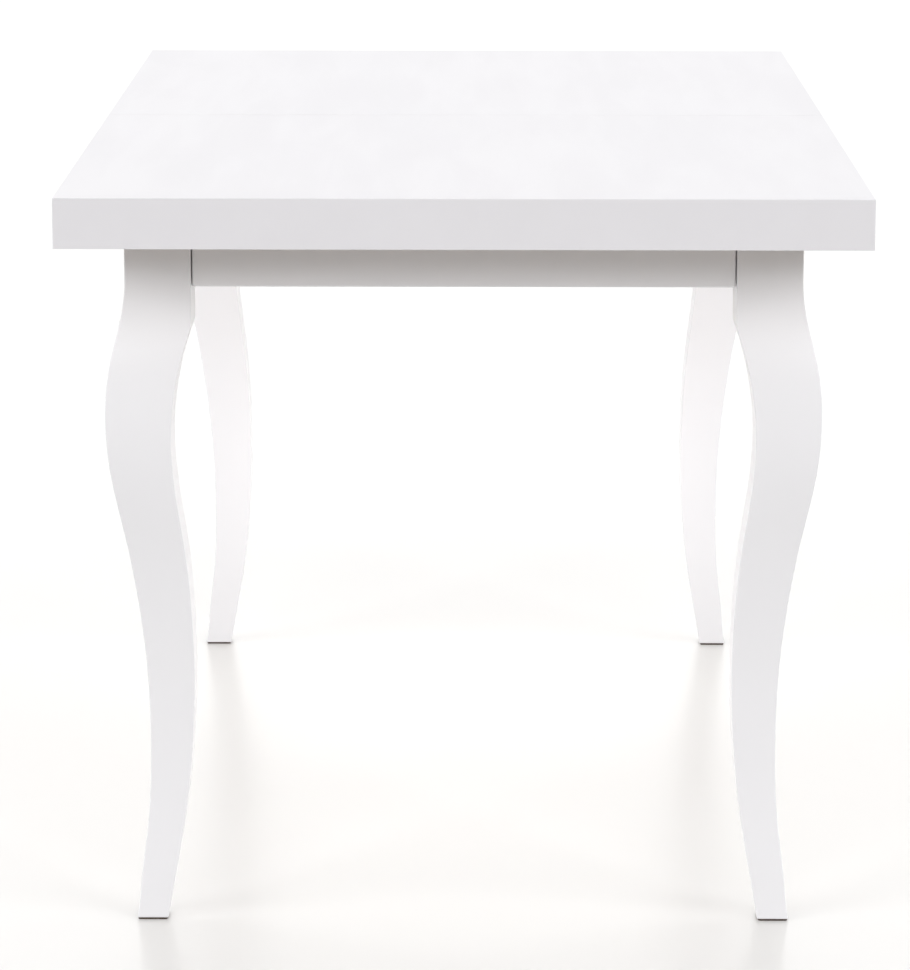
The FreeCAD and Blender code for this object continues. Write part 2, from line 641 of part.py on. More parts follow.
def make_leg():
    """rear right leg: the same side view from the front and from the side, crossed"""
    across = leg_outline(BLOCK_X0, BLOCK_X1)
    across.translate(V(0, HALF_Y - 200, 0))
    along = leg_outline(BLOCK_Y0, BLOCK_Y1)
    along.rotate(V(0, 0, 0), V(*Z), 90)
    along.translate(V(HALF_X - 200, 0, 0))
    body = across.extrude(V(0, SWEEP, 0)).common(along.extrude(V(SWEEP, 0, 0)))
    body = body.makeFillet(LEG_R, [e for e in body.Edges if e.BoundBox.ZLength > 40])
    body = body.makeChamfer(FOOT_CHAMFER, [e for e in body.Edges if e.BoundBox.ZMax < PAD_T + 0.01])
    x0, y0, z0 = BLOCK_X0 - OVER, BLOCK_Y0 - OVER, APRON_Z0 + 2
    across_chamfer = BLOCK_CHAMFER + 2 * OVER
    return body.cut(prism([(x0, y0, z0), (x0 + across_chamfer, y0, z0), (x0, y0 + across_chamfer, z0)],
                          (0, 0, LEG_TOP - z0 + OVER)))


def foot_pad():
    """square pad under the middle of the foot"""
    foot_out, foot_in = OUTER[-1][1], INNER[-1][1]
    x = (BLOCK_X1 + foot_out + BLOCK_X0 + foot_in) / 2
    y = (BLOCK_Y1 + foot_out + BLOCK_Y0 + foot_in) / 2
    h = PAD_W / 2
    body = box(x - h, x + h, y - h, y + h, 0, PAD_T)
    return body.makeFillet(PAD_R, [e for e in body.Edges if is_line(e, Z)])


# ---------------------------------------------------------------------------
# corner brackets with their bolts
# ---------------------------------------------------------------------------
CHAMFER_SUM = BLOCK_X0 + BLOCK_Y0 + BLOCK_CHAMFER      # x + y on the face of the block's chamfer
DIAGONAL = sqrt(0.5)
INWARDS = (-DIAGONAL, -DIAGONAL, 0)


def diagonal(outwards, z):
    """point on the bolts' line, at a distance outwards from the chamfer"""
    x = (CHAMFER_SUM + BLOCK_X0 - BLOCK_Y0) / 2
    y = CHAMFER_SUM - x
    return (x + outwards * DIAGONAL, y + outwards * DIAGONAL, z)


def bracket():
    """folded sheet across the corner, with a wing on each apron"""
    face = CHAMFER_SUM - 0.1
    back = face - SHEET * sqrt(2)
    x1, y1 = APRON_IN_X - FIT, APRON_IN_Y - FIT
    x0, y0 = x1 - SHEET, y1 - SHEET
    wing_y, wing_x = face - x1 - BRACKET_WING_X, face - y1 - BRACKET_WING_Y
    outline = [(x1, wing_y), (x1, face - x1), (face - y1, y1), (wing_x, y1),
               (wing_x, y0), (back - y0, y0), (x0, back - x0), (x0, wing_y)]
    body = prism([(x, y, BRACKET_Z0) for x, y in outline], (0, 0, BRACKET_Z1 - BRACKET_Z0))
    for z in BOLT_Z:
        body = body.cut(cyl(SHEET_HOLE_R, 30, diagonal(15, z), INWARDS))
    return body


def bracket_screw_places():
    places = []
    for z in BRACKET_SCREW_Z:
        places.append(((APRON_IN_X - SHEET - FIT, BRACKET_SCREW_Y, z), X, BRACKET_SCREW))
        places.append(((BRACKET_SCREW_X, APRON_IN_Y - SHEET - FIT, z), Y, BRACKET_SCREW))
    return places


def hanger_bolt(z):
    body = cyl(BOLT_R, BOLT_LENGTH, diagonal(BOLT_IN_WOOD, z), INWARDS)
    return body.makeChamfer(BOLT_END, [e for e in body.Edges if is_circle(e)])


def hanger_hole(z):
    return cyl(BOLT_HOLE_R, BOLT_IN_WOOD + 2, diagonal(BOLT_IN_WOOD + 0.6, z), INWARDS)


WASHER_AT = -0.1 * DIAGONAL - SHEET - FIT
NUT_AT = WASHER_AT - WASHER_T - FIT


def washer(z):
    body = cyl(WASHER_R, WASHER_T, diagonal(WASHER_AT, z), INWARDS)
    return body.cut(cyl(WASHER_HOLE_R, 30, diagonal(0, z), INWARDS))


def nut(z):
    body = place(hexagon(NUT_R).extrude(V(0, 0, NUT_T)), diagonal(NUT_AT, z), INWARDS)
    return body.cut(cyl(BOLT_HOLE_R, 30, diagonal(0, z), INWARDS))


# ---------------------------------------------------------------------------
# aprons
# ---------------------------------------------------------------------------
def side_apron():
    body = box(APRON_IN_X, SIDE_APRON_X, -SIDE_APRON_END, SIDE_APRON_END, APRON_Z0, APRON_Z1)
    return body.makeFillet(APRON_R, [e for e in body.Edges if e.CenterOfMass.x > SIDE_APRON_X - 1
                                     or e.CenterOfMass.z < APRON_Z0 + 1])


def end_apron():
    body = box(-END_APRON_END, END_APRON_END, APRON_IN_Y, END_APRON_Y, APRON_Z0, APRON_Z1)
    return body.makeFillet(APRON_R, [e for e in body.Edges if e.CenterOfMass.y > END_APRON_Y - 1
                                     or e.CenterOfMass.z < APRON_Z0 + 1])


# ---------------------------------------------------------------------------
# slide channels with stops
# ---------------------------------------------------------------------------
def channel():
    """C section, open towards the runner between two lips"""
    w, lip, end = CHANNEL_WALL, CHANNEL_LIP, CHANNEL_END
    body = box(CHANNEL_X0, CHANNEL_X1 - FIT, -end, end, CHANNEL_Z0, CHANNEL_Z1)
    mouth = box(CHANNEL_X0 - 1, CHANNEL_X1 - w, -end - 1, end + 1, CHANNEL_Z0 + w + lip, CHANNEL_Z1 - w - lip)
    inside = box(CHANNEL_X0 + w, CHANNEL_X1 - w, -end - 1, end + 1, CHANNEL_Z0 + w, CHANNEL_Z1 - w)
    return body.cut(mouth).cut(inside)


def stops():
    """one block in the middle of the channel and a plate just past each end"""
    w, g = CHANNEL_WALL, STOP_GAP
    shapes = [box(CHANNEL_X0 + w + g, CHANNEL_X1 - w - g, -STOP_HALF_W, STOP_HALF_W,
                  CHANNEL_Z0 + w + g / 2, CHANNEL_Z1 - w - g / 2)]
    for s in (-1, 1):
        y0, y1 = sorted((s * END_STOP_Y0, s * END_STOP_Y1))
        shapes.append(box(APRON_IN_X - END_STOP_W, APRON_IN_X - FIT, y0, y1,
                          SLIDE_Z - END_STOP_H / 2, SLIDE_Z + END_STOP_H / 2))
    return group(shapes)


# ---------------------------------------------------------------------------
# cross rails with felt and guides, pinion posts and axles
# ---------------------------------------------------------------------------
def tenon(y, gap=0.0):
    """right-hand tenon of a cross rail; a gap makes its mortice"""
    return box(APRON_IN_X - 1 - gap, APRON_IN_X + TENON_IN + 5 * gap, y - TENON_HALF_W - gap,
               y + TENON_HALF_W + gap, TENON_Z0 - gap, TENON_Z1 + gap)


def cross_rail(y):
    body = box(FIT - APRON_IN_X, APRON_IN_X - FIT, y - CROSS_W / 2, y + CROSS_W / 2, CROSS_Z0, CROSS_Z1)
    body = body.makeFillet(CROSS_R, [e for e in body.Edges if is_line(e, X)])
    return fuse([body, tenon(y), mirror_x(tenon(y))])


def felt(y):
    return box(FELT_X0, FELT_X1, y - FELT_HALF_W, y + FELT_HALF_W, CROSS_Z1, CROSS_Z1 + FELT_T)


def guide(y):
    """block beside the leaf that keeps it straight"""
    top = CROSS_Z1 + GUIDE_H
    body = box(GUIDE_X0, GUIDE_X1, y - GUIDE_HALF_W, y + GUIDE_HALF_W, CROSS_Z1, top)
    return body.makeFillet(GUIDE_R, [e for e in body.Edges if e.CenterOfMass.z > top - 1])


def post():
    """block that carries the pinion above the middle cross rail"""
    body = box(PINION_X - POST_HALF_X, PINION_X + POST_HALF_X, -POST_HALF_Y, POST_HALF_Y, CROSS_Z1, POST_TOP)
    body = body.makeFillet(POST_R, [e for e in body.Edges if is_line(e, Z)])
    return body.cut(cyl(AXLE_HOLE_R, POST_TOP - CROSS_Z1 + 2, (PINION_X, 0, CROSS_Z1 - 1), Z))


def axle():
    z0, z1 = CROSS_Z1 - AXLE_IN_RAIL, GEAR_Z1 + AXLE_HEAD_GAP
    body = fuse([cyl(AXLE_R, z1 - z0, (PINION_X, 0, z0), Z),
                 cyl(AXLE_HEAD_R, AXLE_HEAD_T, (PINION_X, 0, z1), Z)])
    socket = hexagon(AXLE_HEX_R, (PINION_X, 0, z1 + AXLE_HEAD_T - AXLE_HEX_DEPTH))
    return body.cut(socket.extrude(V(0, 0, OVER)))


def post_screw_places():
    return [((PINION_X + dx, dy, CROSS_Z0), Z, POST_SCREW)
            for dx in (-POST_SCREW_X, POST_SCREW_X) for dy in (-POST_SCREW_Y, POST_SCREW_Y)]


# ---------------------------------------------------------------------------
# the frame
# ---------------------------------------------------------------------------
def build_corners():
    """legs, pads, brackets and bolts; returns the bracket screws' holes in all four corners"""
    leg = make_leg()
    for z in BOLT_Z:
        leg = leg.cut(hanger_hole(z))
    for name, shape in corners(leg).items():
        save(name + "_leg", shape)
    full, holes = screws(bracket_screw_places())
    save("foot_pads", four(foot_pad()))
    save("corner_brackets", four(bracket().cut(holes)))
    save("bracket_screws", four(full))
    save("hanger_bolts", four(group([hanger_bolt(z) for z in BOLT_Z])))
    save("bolt_nuts", four(group([nut(z) for z in BOLT_Z])))
    save("bolt_washers", four(group([washer(z) for z in BOLT_Z])))
    return four(holes)


def build_cross_rails():
    front, middle, rear = [cross_rail(y) for y in CROSS_Y]
    full, holes = screws(post_screw_places())
    socket = cyl(AXLE_HOLE_R, AXLE_IN_RAIL + 1, (PINION_X, 0, CROSS_Z1 - AXLE_IN_RAIL - 0.2), Z)
    for cutter in (holes, socket):
        middle = middle.cut(cutter).cut(mirror_x(cutter))
    save("front_cross_rail", front)
    save("middle_cross_rail", middle)
    save("rear_cross_rail", rear)
    save("leaf_felts", pair(group([felt(y) for y in CROSS_Y])))
    save("leaf_guides", pair(group([guide(y) for y in CROSS_Y])))
    save("pinion_posts", pair(post().cut(holes)))
    save("pinion_axles", pair(axle()))
    save("post_screws", pair(full))
    save("right_pinion", pinion())
    save("left_pinion", mirror_x(pinion()))


def build_aprons_and_channels(bracket_holes):
    full, holes = screws([((CHANNEL_X1 - CHANNEL_WALL, y, SLIDE_Z), X, CHANNEL_SCREW)
                          for y in CHANNEL_SCREW_Y])
    side = side_apron().cut(bracket_holes).cut(holes)
    for y in CROSS_Y:
        side = side.cut(tenon(y, TENON_GAP))
    end = end_apron().cut(bracket_holes)
    rail = channel().cut(holes)
    save("right_channel", rail)
    save("left_channel", mirror_x(rail))
    save("channel_screws", pair(full))
    save("slide_stops", pair(stops()))
    save("right_apron", side)
    save("left_apron", mirror_x(side))
    save("rear_apron", end)
    save("front_apron", mirror_y(end))


build_half("front", -1)
build_half("rear", 1)
build_leaf()
build_aprons_and_channels(build_corners())
build_cross_rails()
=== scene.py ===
import json
import math

import bmesh
import bpy
from mathutils import Matrix, Vector, noise


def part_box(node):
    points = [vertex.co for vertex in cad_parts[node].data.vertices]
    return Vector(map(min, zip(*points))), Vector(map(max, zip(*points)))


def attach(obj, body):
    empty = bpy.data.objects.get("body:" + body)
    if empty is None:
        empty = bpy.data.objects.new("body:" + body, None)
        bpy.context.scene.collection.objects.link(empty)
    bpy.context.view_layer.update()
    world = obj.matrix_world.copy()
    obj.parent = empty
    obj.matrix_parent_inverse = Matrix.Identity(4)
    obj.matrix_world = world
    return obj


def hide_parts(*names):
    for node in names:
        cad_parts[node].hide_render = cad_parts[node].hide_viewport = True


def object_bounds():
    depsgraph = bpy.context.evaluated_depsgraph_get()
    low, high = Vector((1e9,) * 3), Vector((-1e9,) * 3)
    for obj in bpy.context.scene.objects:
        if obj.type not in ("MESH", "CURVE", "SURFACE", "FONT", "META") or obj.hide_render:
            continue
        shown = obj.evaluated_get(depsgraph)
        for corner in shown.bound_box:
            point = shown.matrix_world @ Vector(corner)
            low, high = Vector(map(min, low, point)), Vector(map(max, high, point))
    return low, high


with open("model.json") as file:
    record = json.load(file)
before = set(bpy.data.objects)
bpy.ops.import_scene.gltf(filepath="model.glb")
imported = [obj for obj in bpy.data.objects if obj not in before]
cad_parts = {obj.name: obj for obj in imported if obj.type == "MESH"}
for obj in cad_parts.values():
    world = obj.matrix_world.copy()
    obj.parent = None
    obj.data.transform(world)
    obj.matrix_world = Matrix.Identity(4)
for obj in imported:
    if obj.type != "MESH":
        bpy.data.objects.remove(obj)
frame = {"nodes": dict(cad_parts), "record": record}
CAD_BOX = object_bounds()
SLOT_OF = {s["node"]: s["material_slot"] for s in frame["record"]["subparts"]}
MM = 0.001

# ---------------------------------------------------------------------------
# camera: end-on, a little above, long lens
# ---------------------------------------------------------------------------
FOCAL_PX = 4557.0            # focal length in the pixels of a 910 x 970 image
LONG_SIDE_PX = 970.0
SENSOR = 36.0                # mm
CAM_AT = Vector((0.0108, -5.0885, 1.345))
CAM_DOWN = math.radians(11.314)
CAM_TURN = math.radians(0.247)
CAM_ROLL = math.radians(0.08)
CLIP_NEAR, CLIP_FAR = 0.1, 200.0


def make_camera():
    data = bpy.data.cameras.new("camera")
    cam = bpy.data.objects.new("camera", data)
    bpy.context.scene.collection.objects.link(cam)
    data.sensor_width = SENSOR
    data.lens = FOCAL_PX / LONG_SIDE_PX * SENSOR
    turn = Matrix.Rotation(CAM_TURN, 4, "Z")
    down = Matrix.Rotation(math.pi / 2 - CAM_DOWN, 4, "X")
    roll = Matrix.Rotation(CAM_ROLL, 4, "Z")
    cam.matrix_world = Matrix.Translation(CAM_AT) @ turn @ down @ roll
    data.clip_start = CLIP_NEAR
    data.clip_end = CLIP_FAR
    bpy.context.scene.camera = cam


# ---------------------------------------------------------------------------
# light: a white studio, softboxes on the sky dome
# ---------------------------------------------------------------------------
# each is there on the left and on the right; in degrees: azimuth of its middle (0 is behind the viewer),
# half width, lowest and highest elevation; then the strength
SOFTBOXES = {
    "low_key": (57, 20, 8, 16, 1.97),
    "key": (57, 20, 16, 24, 6.0),
    "high_key": (57, 20, 24, 34, 5.8),
    "over_key": (57, 20, 34, 46, 0.54),
    "upper": (57, 20, 46, 60, 1.65),
    "front": (0, 30, 15, 35, 1.54),
    "high_front": (0, 30, 35, 60, 2.21),
    "low_side": (100, 23, 0, 15, 4.8),
    "side": (100, 23, 15, 35, 1.2),
    "back": (180, 60, 0, 12, 1.14),
    "high_back": (180, 60, 12, 30, 2.02),
    "back_top": (180, 60, 30, 60, 1.50),
}
SOFT_EDGE = 3.0
# lamp under the top: width, height and place in metres, spread in degrees, power in watts
FILL_SIZE = (0.5, 0.3)
FILL_AT = (0.0, -0.5, 0.42)
FILL_SPREAD = 75.0
FILL_POWER = 1.3


class Tree:
    """short names for building a node tree"""

    def __init__(self, tree):
        self.nodes = tree.nodes
        self.links = tree.links

    def add(self, kind, inputs=(), **settings):
        node = self.nodes.new(kind)
        for key, value in settings.items():
            setattr(node, key, value)
        for key, value in dict(inputs).items():
            self.set(node.inputs[key], value)
        return node

    def set(self, socket, value):
        if isinstance(value, bpy.types.NodeSocket):
            self.links.new(value, socket)
        else:
            socket.default_value = value

    def math(self, operation, a, b=0.0, c=0.0):
        node = self.add("ShaderNodeMath", operation=operation)
        for socket, value in zip(node.inputs, (a, b, c)):
            self.set(socket, value)
        return node.outputs[0]

    def ramp(self, value, low, high, to_low=0.0, to_high=1.0):
        """low..high mapped to to_low..to_high, smooth and limited at both ends"""
        node = self.add("ShaderNodeMapRange", interpolation_type="SMOOTHSTEP")
        for key, v in (("Value", value), ("From Min", low), ("From Max", high),
                       ("To Min", to_low), ("To Max", to_high)):
            self.set(node.inputs[key], v)
        return node.outputs["Result"]

    def mix(self, factor, a, b):
        """colour a where the factor is 0, b where it is 1"""
        node = self.add("ShaderNodeMix", data_type="RGBA")
        for key, value in (("Factor", factor), ("A", a), ("B", b)):
            self.set(node.inputs[key], value)
        return node.outputs["Result"]

    def tint(self, colour, factor):
        """the colour made lighter or darker by the factor"""
        node = self.add("ShaderNodeVectorMath", {0: colour, "Scale": factor}, operation="SCALE")
        return node.outputs[0]

    def noise(self, vector, scale, detail=2.0, roughness=0.5, distortion=0.0):
        node = self.add("ShaderNodeTexNoise", {"Vector": vector, "Scale": scale, "Detail": detail,
                                               "Roughness": roughness, "Distortion": distortion})
        return node.outputs["Fac"]

    def stretched(self, vector, scale):
        return self.add("ShaderNodeMapping", {"Vector": vector, "Scale": scale}).outputs[0]

    def bump(self, height, distance, normal=None):
        """normal of a surface that rises by the distance in metres where the height is 1"""
        node = self.add("ShaderNodeBump", {"Strength": 1.0, "Distance": distance, "Height": height})
        if normal is not None:
            self.set(node.inputs["Normal"], normal)
        return node.outputs[0]


def make_fill():
    """soft light under the top, aimed at the far legs"""
    data = bpy.data.lights.new("under_fill", "AREA")
    data.shape = "RECTANGLE"
    data.size, data.size_y = FILL_SIZE
    data.spread = math.radians(FILL_SPREAD)
    data.energy = FILL_POWER
    lamp = bpy.data.objects.new("under_fill", data)
    lamp.location = FILL_AT
    lamp.rotation_euler = (math.pi / 2, 0, 0)
    lamp.visible_camera = False
    lamp.visible_glossy = False
    bpy.context.scene.collection.objects.link(lamp)


def make_sky():
    """the softboxes, each a patch of sky with soft borders; the sky is the same on both sides"""
    world = bpy.data.worlds.new("studio")
    bpy.context.scene.world = world
    world.use_nodes = True
    t = Tree(world.node_tree)
    t.nodes.clear()
    direction = t.add("ShaderNodeTexCoord").outputs["Generated"]
    split = t.add("ShaderNodeSeparateXYZ", {"Vector": direction})
    elevation = t.math("DEGREES", t.math("ARCSINE", split.outputs["Z"]))
    towards_viewer = t.math("MULTIPLY", split.outputs["Y"], -1.0)
    azimuth = t.math("ABSOLUTE", t.math("DEGREES", t.math("ARCTAN2", split.outputs["X"], towards_viewer)))
    total = 0.0
    for at, half_width, lowest, highest, strength in SOFTBOXES.values():
        turn = t.math("ABSOLUTE", t.math("SUBTRACT", azimuth, float(at)))
        across = t.ramp(turn, half_width - SOFT_EDGE, half_width + SOFT_EDGE, 1.0, 0.0)
        above = t.ramp(elevation, lowest - SOFT_EDGE, lowest + SOFT_EDGE)
        below = t.ramp(elevation, highest - SOFT_EDGE, highest + SOFT_EDGE, strength, 0.0)
        total = t.math("ADD", t.math("MULTIPLY", t.math("MULTIPLY", across, above), below), total)
    colour = t.add("ShaderNodeCombineColor", {"Red": total, "Green": total, "Blue": total})
    back = t.add("ShaderNodeBackground", {"Color": colour.outputs[0], "Strength": 1.0})
    t.add("ShaderNodeOutputWorld", {"Surface": back.outputs[0]})


# ---------------------------------------------------------------------------
# materials
# ---------------------------------------------------------------------------
USUAL = (0.3, 0.7)           # most of a noise's values lie between these


def principled(name, **sockets):
    """a new material: itself, its node tree and its shader; sockets with _ for a space"""
    m = bpy.data.materials.new(name)
    m.use_nodes = True
    t = Tree(m.node_tree)
    t.nodes.clear()
    shader = t.add("ShaderNodeBsdfPrincipled", {k.replace("_", " "): v for k, v in sockets.items()})
    t.add("ShaderNodeOutputMaterial", {"Surface": shader.outputs[0]})
    return m, t, shader


def place(t):
    """metres in the shared frame, since no piece is moved from its origin"""
    return t.add("ShaderNodeTexCoord").outputs["Object"]


def lacquer(name, colour, rough):
    """sprayed satin lacquer: orange peel, faint clouds in the gloss; the arrises painted a little darker as
    painted shade, and a little glossier
    """
    m, t, s = principled(name, IOR=1.5)
    at = place(t)
    cloud = t.ramp(t.noise(at, scale=4.0, detail=2.0), *USUAL, 0.995, 1.005)
    arris = t.add("ShaderNodeAttribute", attribute_name="arris").outputs["Fac"]
    # painted shade: the rounded arrises are painted 1.5% darker
    t.set(s.inputs["Base Color"], t.tint(colour, t.math("MULTIPLY_ADD", arris, -0.015, cloud)))
    haze = t.ramp(t.noise(at, scale=14.0, detail=3.0), *USUAL, rough - 0.025, rough + 0.025)
    t.set(s.inputs["Roughness"], t.math("MULTIPLY_ADD", arris, -0.05, haze))
    n = t.bump(t.noise(at, scale=380.0, detail=1.5, roughness=0.4), distance=0.000025)
    t.set(s.inputs["Normal"], t.bump(t.noise(at, scale=16.0, detail=1.0), distance=0.00008, normal=n))
    return m


def foil(name, colour, rough):
    """satin furniture foil pressed over board: fine pores, faint wipe marks along the table, the arrises
    painted a little lighter as a painted highlight
    """
    m, t, s = principled(name, IOR=1.5)
    at = place(t)
    wipe = t.noise(t.stretched(at, (26.0, 3.5, 26.0)), scale=1.0, detail=4.0, roughness=0.55, distortion=0.4)
    arris = t.add("ShaderNodeAttribute", attribute_name="arris").outputs["Fac"]
    tone = t.ramp(wipe, *USUAL, 0.996, 1.004)
    # painted highlight: the rounded arrises are painted 2% lighter
    t.set(s.inputs["Base Color"], t.tint(colour, t.math("MULTIPLY_ADD", arris, 0.02, tone)))
    t.set(s.inputs["Roughness"], t.ramp(wipe, *USUAL, rough - 0.035, rough + 0.035))
    pores = t.noise(t.stretched(at, (900.0, 500.0, 900.0)), scale=1.0, detail=2.0, roughness=0.6)
    n = t.bump(pores, distance=0.000012)
    t.set(s.inputs["Normal"], t.bump(t.noise(at, scale=9.0, detail=1.0), distance=0.00006, normal=n))
    return m


def fibreboard(name):
    """sanded raw board under the top"""
    m, t, s = principled(name, IOR=1.45)
    at = place(t)
    fibre = t.noise(at, scale=420.0, detail=5.0, roughness=0.7)
    patch = t.noise(at, scale=18.0, detail=3.0)
    base = t.mix(t.ramp(fibre, 0.32, 0.68), (0.50, 0.385, 0.27, 1), (0.64, 0.525, 0.40, 1))
    t.set(s.inputs["Base Color"], t.mix(t.ramp(patch, *USUAL, 0.0, 0.35), base, (0.56, 0.45, 0.33, 1)))
    t.set(s.inputs["Roughness"], t.ramp(fibre, *USUAL, 0.72, 0.86))
    t.set(s.inputs["Normal"], t.bump(fibre, distance=0.00008))
    return m


def beech(name, along):
    """planed beech: pale bands, fine pores and short dark ray flecks along the grain's axis"""
    m, t, s = principled(name, IOR=1.45)
    at = place(t)

    def grained(across, length):
        scale = [across] * 3
        scale[along] = length
        return t.stretched(at, tuple(scale))

    bands = t.noise(grained(34.0, 1.6), scale=1.0, detail=3.0, roughness=0.5, distortion=0.8)
    fibre = t.noise(grained(420.0, 14.0), scale=1.0, detail=4.0, roughness=0.6)
    fleck = t.noise(grained(620.0, 120.0), scale=1.0, detail=1.0)
    base = t.mix(t.ramp(bands, *USUAL), (0.60, 0.415, 0.27, 1), (0.72, 0.54, 0.375, 1))
    base = t.mix(t.ramp(fibre, 0.35, 0.75, 0.0, 0.45), base, (0.55, 0.365, 0.225, 1))
    base = t.mix(t.ramp(fleck, 0.64, 0.72, 0.0, 0.5), base, (0.36, 0.21, 0.125, 1))
    t.set(s.inputs["Base Color"], base)
    t.set(s.inputs["Roughness"], t.ramp(fibre, 0.2, 0.8, 0.46, 0.62))
    t.set(s.inputs["Normal"], t.bump(fleck, distance=0.00012, normal=t.bump(fibre, distance=0.00006)))
    return m


def plated(name, colour, rough):
    """zinc plating: faint spangle, darker in patches, handling marks in the gloss"""
    m, t, s = principled(name, Metallic=1.0)
    at = place(t)
    spangle = t.add("ShaderNodeTexVoronoi", {"Vector": at, "Scale": 260.0}).outputs["Color"]
    tone = t.math("ADD", t.ramp(spangle, 0.0, 1.0, 0.94, 1.03),
                  t.ramp(t.noise(at, scale=30.0, detail=3.0), *USUAL, -0.05, 0.02))
    t.set(s.inputs["Base Color"], t.tint(colour, tone))
    handling = t.noise(at, scale=90.0, detail=4.0)
    t.set(s.inputs["Roughness"], t.ramp(handling, *USUAL, rough - 0.05, rough + 0.09))
    t.set(s.inputs["Normal"], t.bump(t.noise(at, scale=900.0, detail=2.0), distance=0.000015))
    return m


def extrusion(name):
    """mill-finish aluminium with die lines along Y"""
    m, t, s = principled(name, Metallic=1.0)
    at = place(t)
    lines = t.noise(t.stretched(at, (2600.0, 3.0, 2600.0)), scale=1.0, detail=3.0)
    t.set(s.inputs["Base Color"], t.tint((0.76, 0.77, 0.78), t.ramp(lines, *USUAL, 0.93, 1.03)))
    t.set(s.inputs["Roughness"], t.ramp(lines, *USUAL, 0.26, 0.40))
    t.set(s.inputs["Normal"], t.bump(lines, distance=0.00002))
    return m


def nylon(name):
    """moulded plastic: flow marks and a spark-eroded texture"""
    m, t, s = principled(name, IOR=1.53)
    at = place(t)
    flow = t.noise(at, scale=45.0, detail=3.0, roughness=0.5, distortion=1.5)
    t.set(s.inputs["Base Color"], t.mix(t.ramp(flow, *USUAL), (0.70, 0.69, 0.64, 1), (0.76, 0.75, 0.71, 1)))
    t.set(s.inputs["Roughness"], t.ramp(t.noise(at, scale=160.0, detail=3.0), *USUAL, 0.40, 0.54))
    t.set(s.inputs["Normal"], t.bump(t.noise(at, scale=1600.0, detail=2.0), distance=0.00002))
    return m


def felt(name, dark, light):
    """needled felt: tangled fibres in clumps"""
    m, t, s = principled(name, Roughness=0.95, Sheen_Weight=0.3, IOR=1.4)
    at = place(t)
    fibre = t.noise(at, scale=1400.0, detail=4.0, roughness=0.7, distortion=1.2)
    clump = t.noise(at, scale=160.0, detail=3.0)
    nap = t.math("MULTIPLY_ADD", fibre, 0.7, t.math("MULTIPLY", clump, 0.3))
    t.set(s.inputs["Base Color"], t.mix(t.ramp(nap, *USUAL), dark, light))
    t.set(s.inputs["Normal"], t.bump(nap, distance=0.0005))
    return m


def studio_floor(name):
    """plain pale floor, a little glossy"""
    m, t, s = principled(name, IOR=1.5)
    t.set(s.inputs["Base Color"], (0.70, 0.692, 0.68, 1))
    t.set(s.inputs["Roughness"], 0.28)
    return m


LACQUER = lacquer("white_lacquer", (0.722, 0.715, 0.732), 0.30)
FOIL = foil("white_foil", (0.632, 0.621, 0.641), 0.45)
BOARD = fibreboard("raw_board")
BEECH = [beech("beech_along_" + axis, i) for i, axis in enumerate("xyz")]
STEEL = plated("pressed_steel", (0.62, 0.63, 0.64), 0.34)
ZINC = plated("zinc_fixings", (0.70, 0.71, 0.70), 0.27)
PAD = felt("glide_felt", (0.035, 0.022, 0.015, 1), (0.09, 0.06, 0.045, 1))
FELT = felt("felt", (0.16, 0.13, 0.11, 1), (0.34, 0.30, 0.26, 1))
MATERIALS = {
    "white_lacquer": LACQUER,
    "raw_wood": BEECH[0],
    "steel": STEEL,
    "zinc_steel": ZINC,
    "aluminium": extrusion("aluminium"),
    "nylon": nylon("nylon"),
    "felt": FELT,
    "glide_pad": PAD,
}
# axis of the grain, by the ending of the wooden node's name; in the others it runs along X
GRAIN_OF = {"battens": 1, "seam_pins": 1, "posts": 2}


def paint(obj, material):
    """one material for the whole object"""
    obj.data.materials.clear()
    obj.data.materials.append(material)


for name, node in frame["nodes"].items():
    material = MATERIALS[SLOT_OF[name]]
    for ending, along in GRAIN_OF.items():
        if SLOT_OF[name] == "raw_wood" and name.endswith(ending):
            material = BEECH[along]
    paint(node, material)


# ---------------------------------------------------------------------------
# mesh helpers: pieces are drawn in millimetres, mostly as the rear right one of four
# ---------------------------------------------------------------------------
FLAT_ANGLE = 0.01            # radians; faces that meet at less are one face
SHARP_ANGLE = 0.5            # radians; edges that turn more are arrises
CRISP, SOFT_CRISP = 30.0, 50.0    # degrees; edges that turn more look sharp, the second on felt and threads
ON_AXIS = 0.9999             # a normal's largest part, on a face square to an axis
LEVEL, ALONG_AXIS = 0.1, 0.01     # a direction's other parts, on a level edge and on one along an axis
AT_FACE = 0.01               # mm; as near as this is on the face or at the height
MARGIN = 0.1                 # mm; slack when telling one region from another
APART = 1.0                  # mm; further than this is somewhere else
TINY = 0.001                 # mm; shorter edges are dissolved
WELD = 1e-4                  # mm; nearer points are one
ON_SIDE = 1e-6               # mm; as near as this is on the side of a felt
FACE_WEIGHT = 80             # how much the large faces win


def make_piece(name, bm, body, nodes, *materials):
    """the mesh as a piece in metres that rides on the body and stands for the CAD nodes"""
    bmesh.ops.scale(bm, vec=(MM, MM, MM), verts=bm.verts)
    mesh = bpy.data.meshes.new(name)
    for material in materials:
        mesh.materials.append(material)
    bm.to_mesh(mesh)
    bm.free()
    piece = bpy.data.objects.new(name, mesh)
    bpy.context.scene.collection.objects.link(piece)
    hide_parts(*nodes)
    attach(piece, body)
    return piece


def shade(bm, limit=CRISP):
    """smooth, with edges sharper than the limit left crisp"""
    bmesh.ops.recalc_face_normals(bm, faces=bm.faces)
    for face in bm.faces:
        face.smooth = True
    for edge in bm.edges:
        if len(edge.link_faces) == 2 and edge.calc_face_angle() > math.radians(limit):
            edge.smooth = False


def flat_faces_win(piece):
    """normals follow the large flat faces, so that only the arrises look round"""
    weighted = piece.modifiers.new("normals", "WEIGHTED_NORMAL")
    weighted.keep_sharp = True
    weighted.weight = FACE_WEIGHT


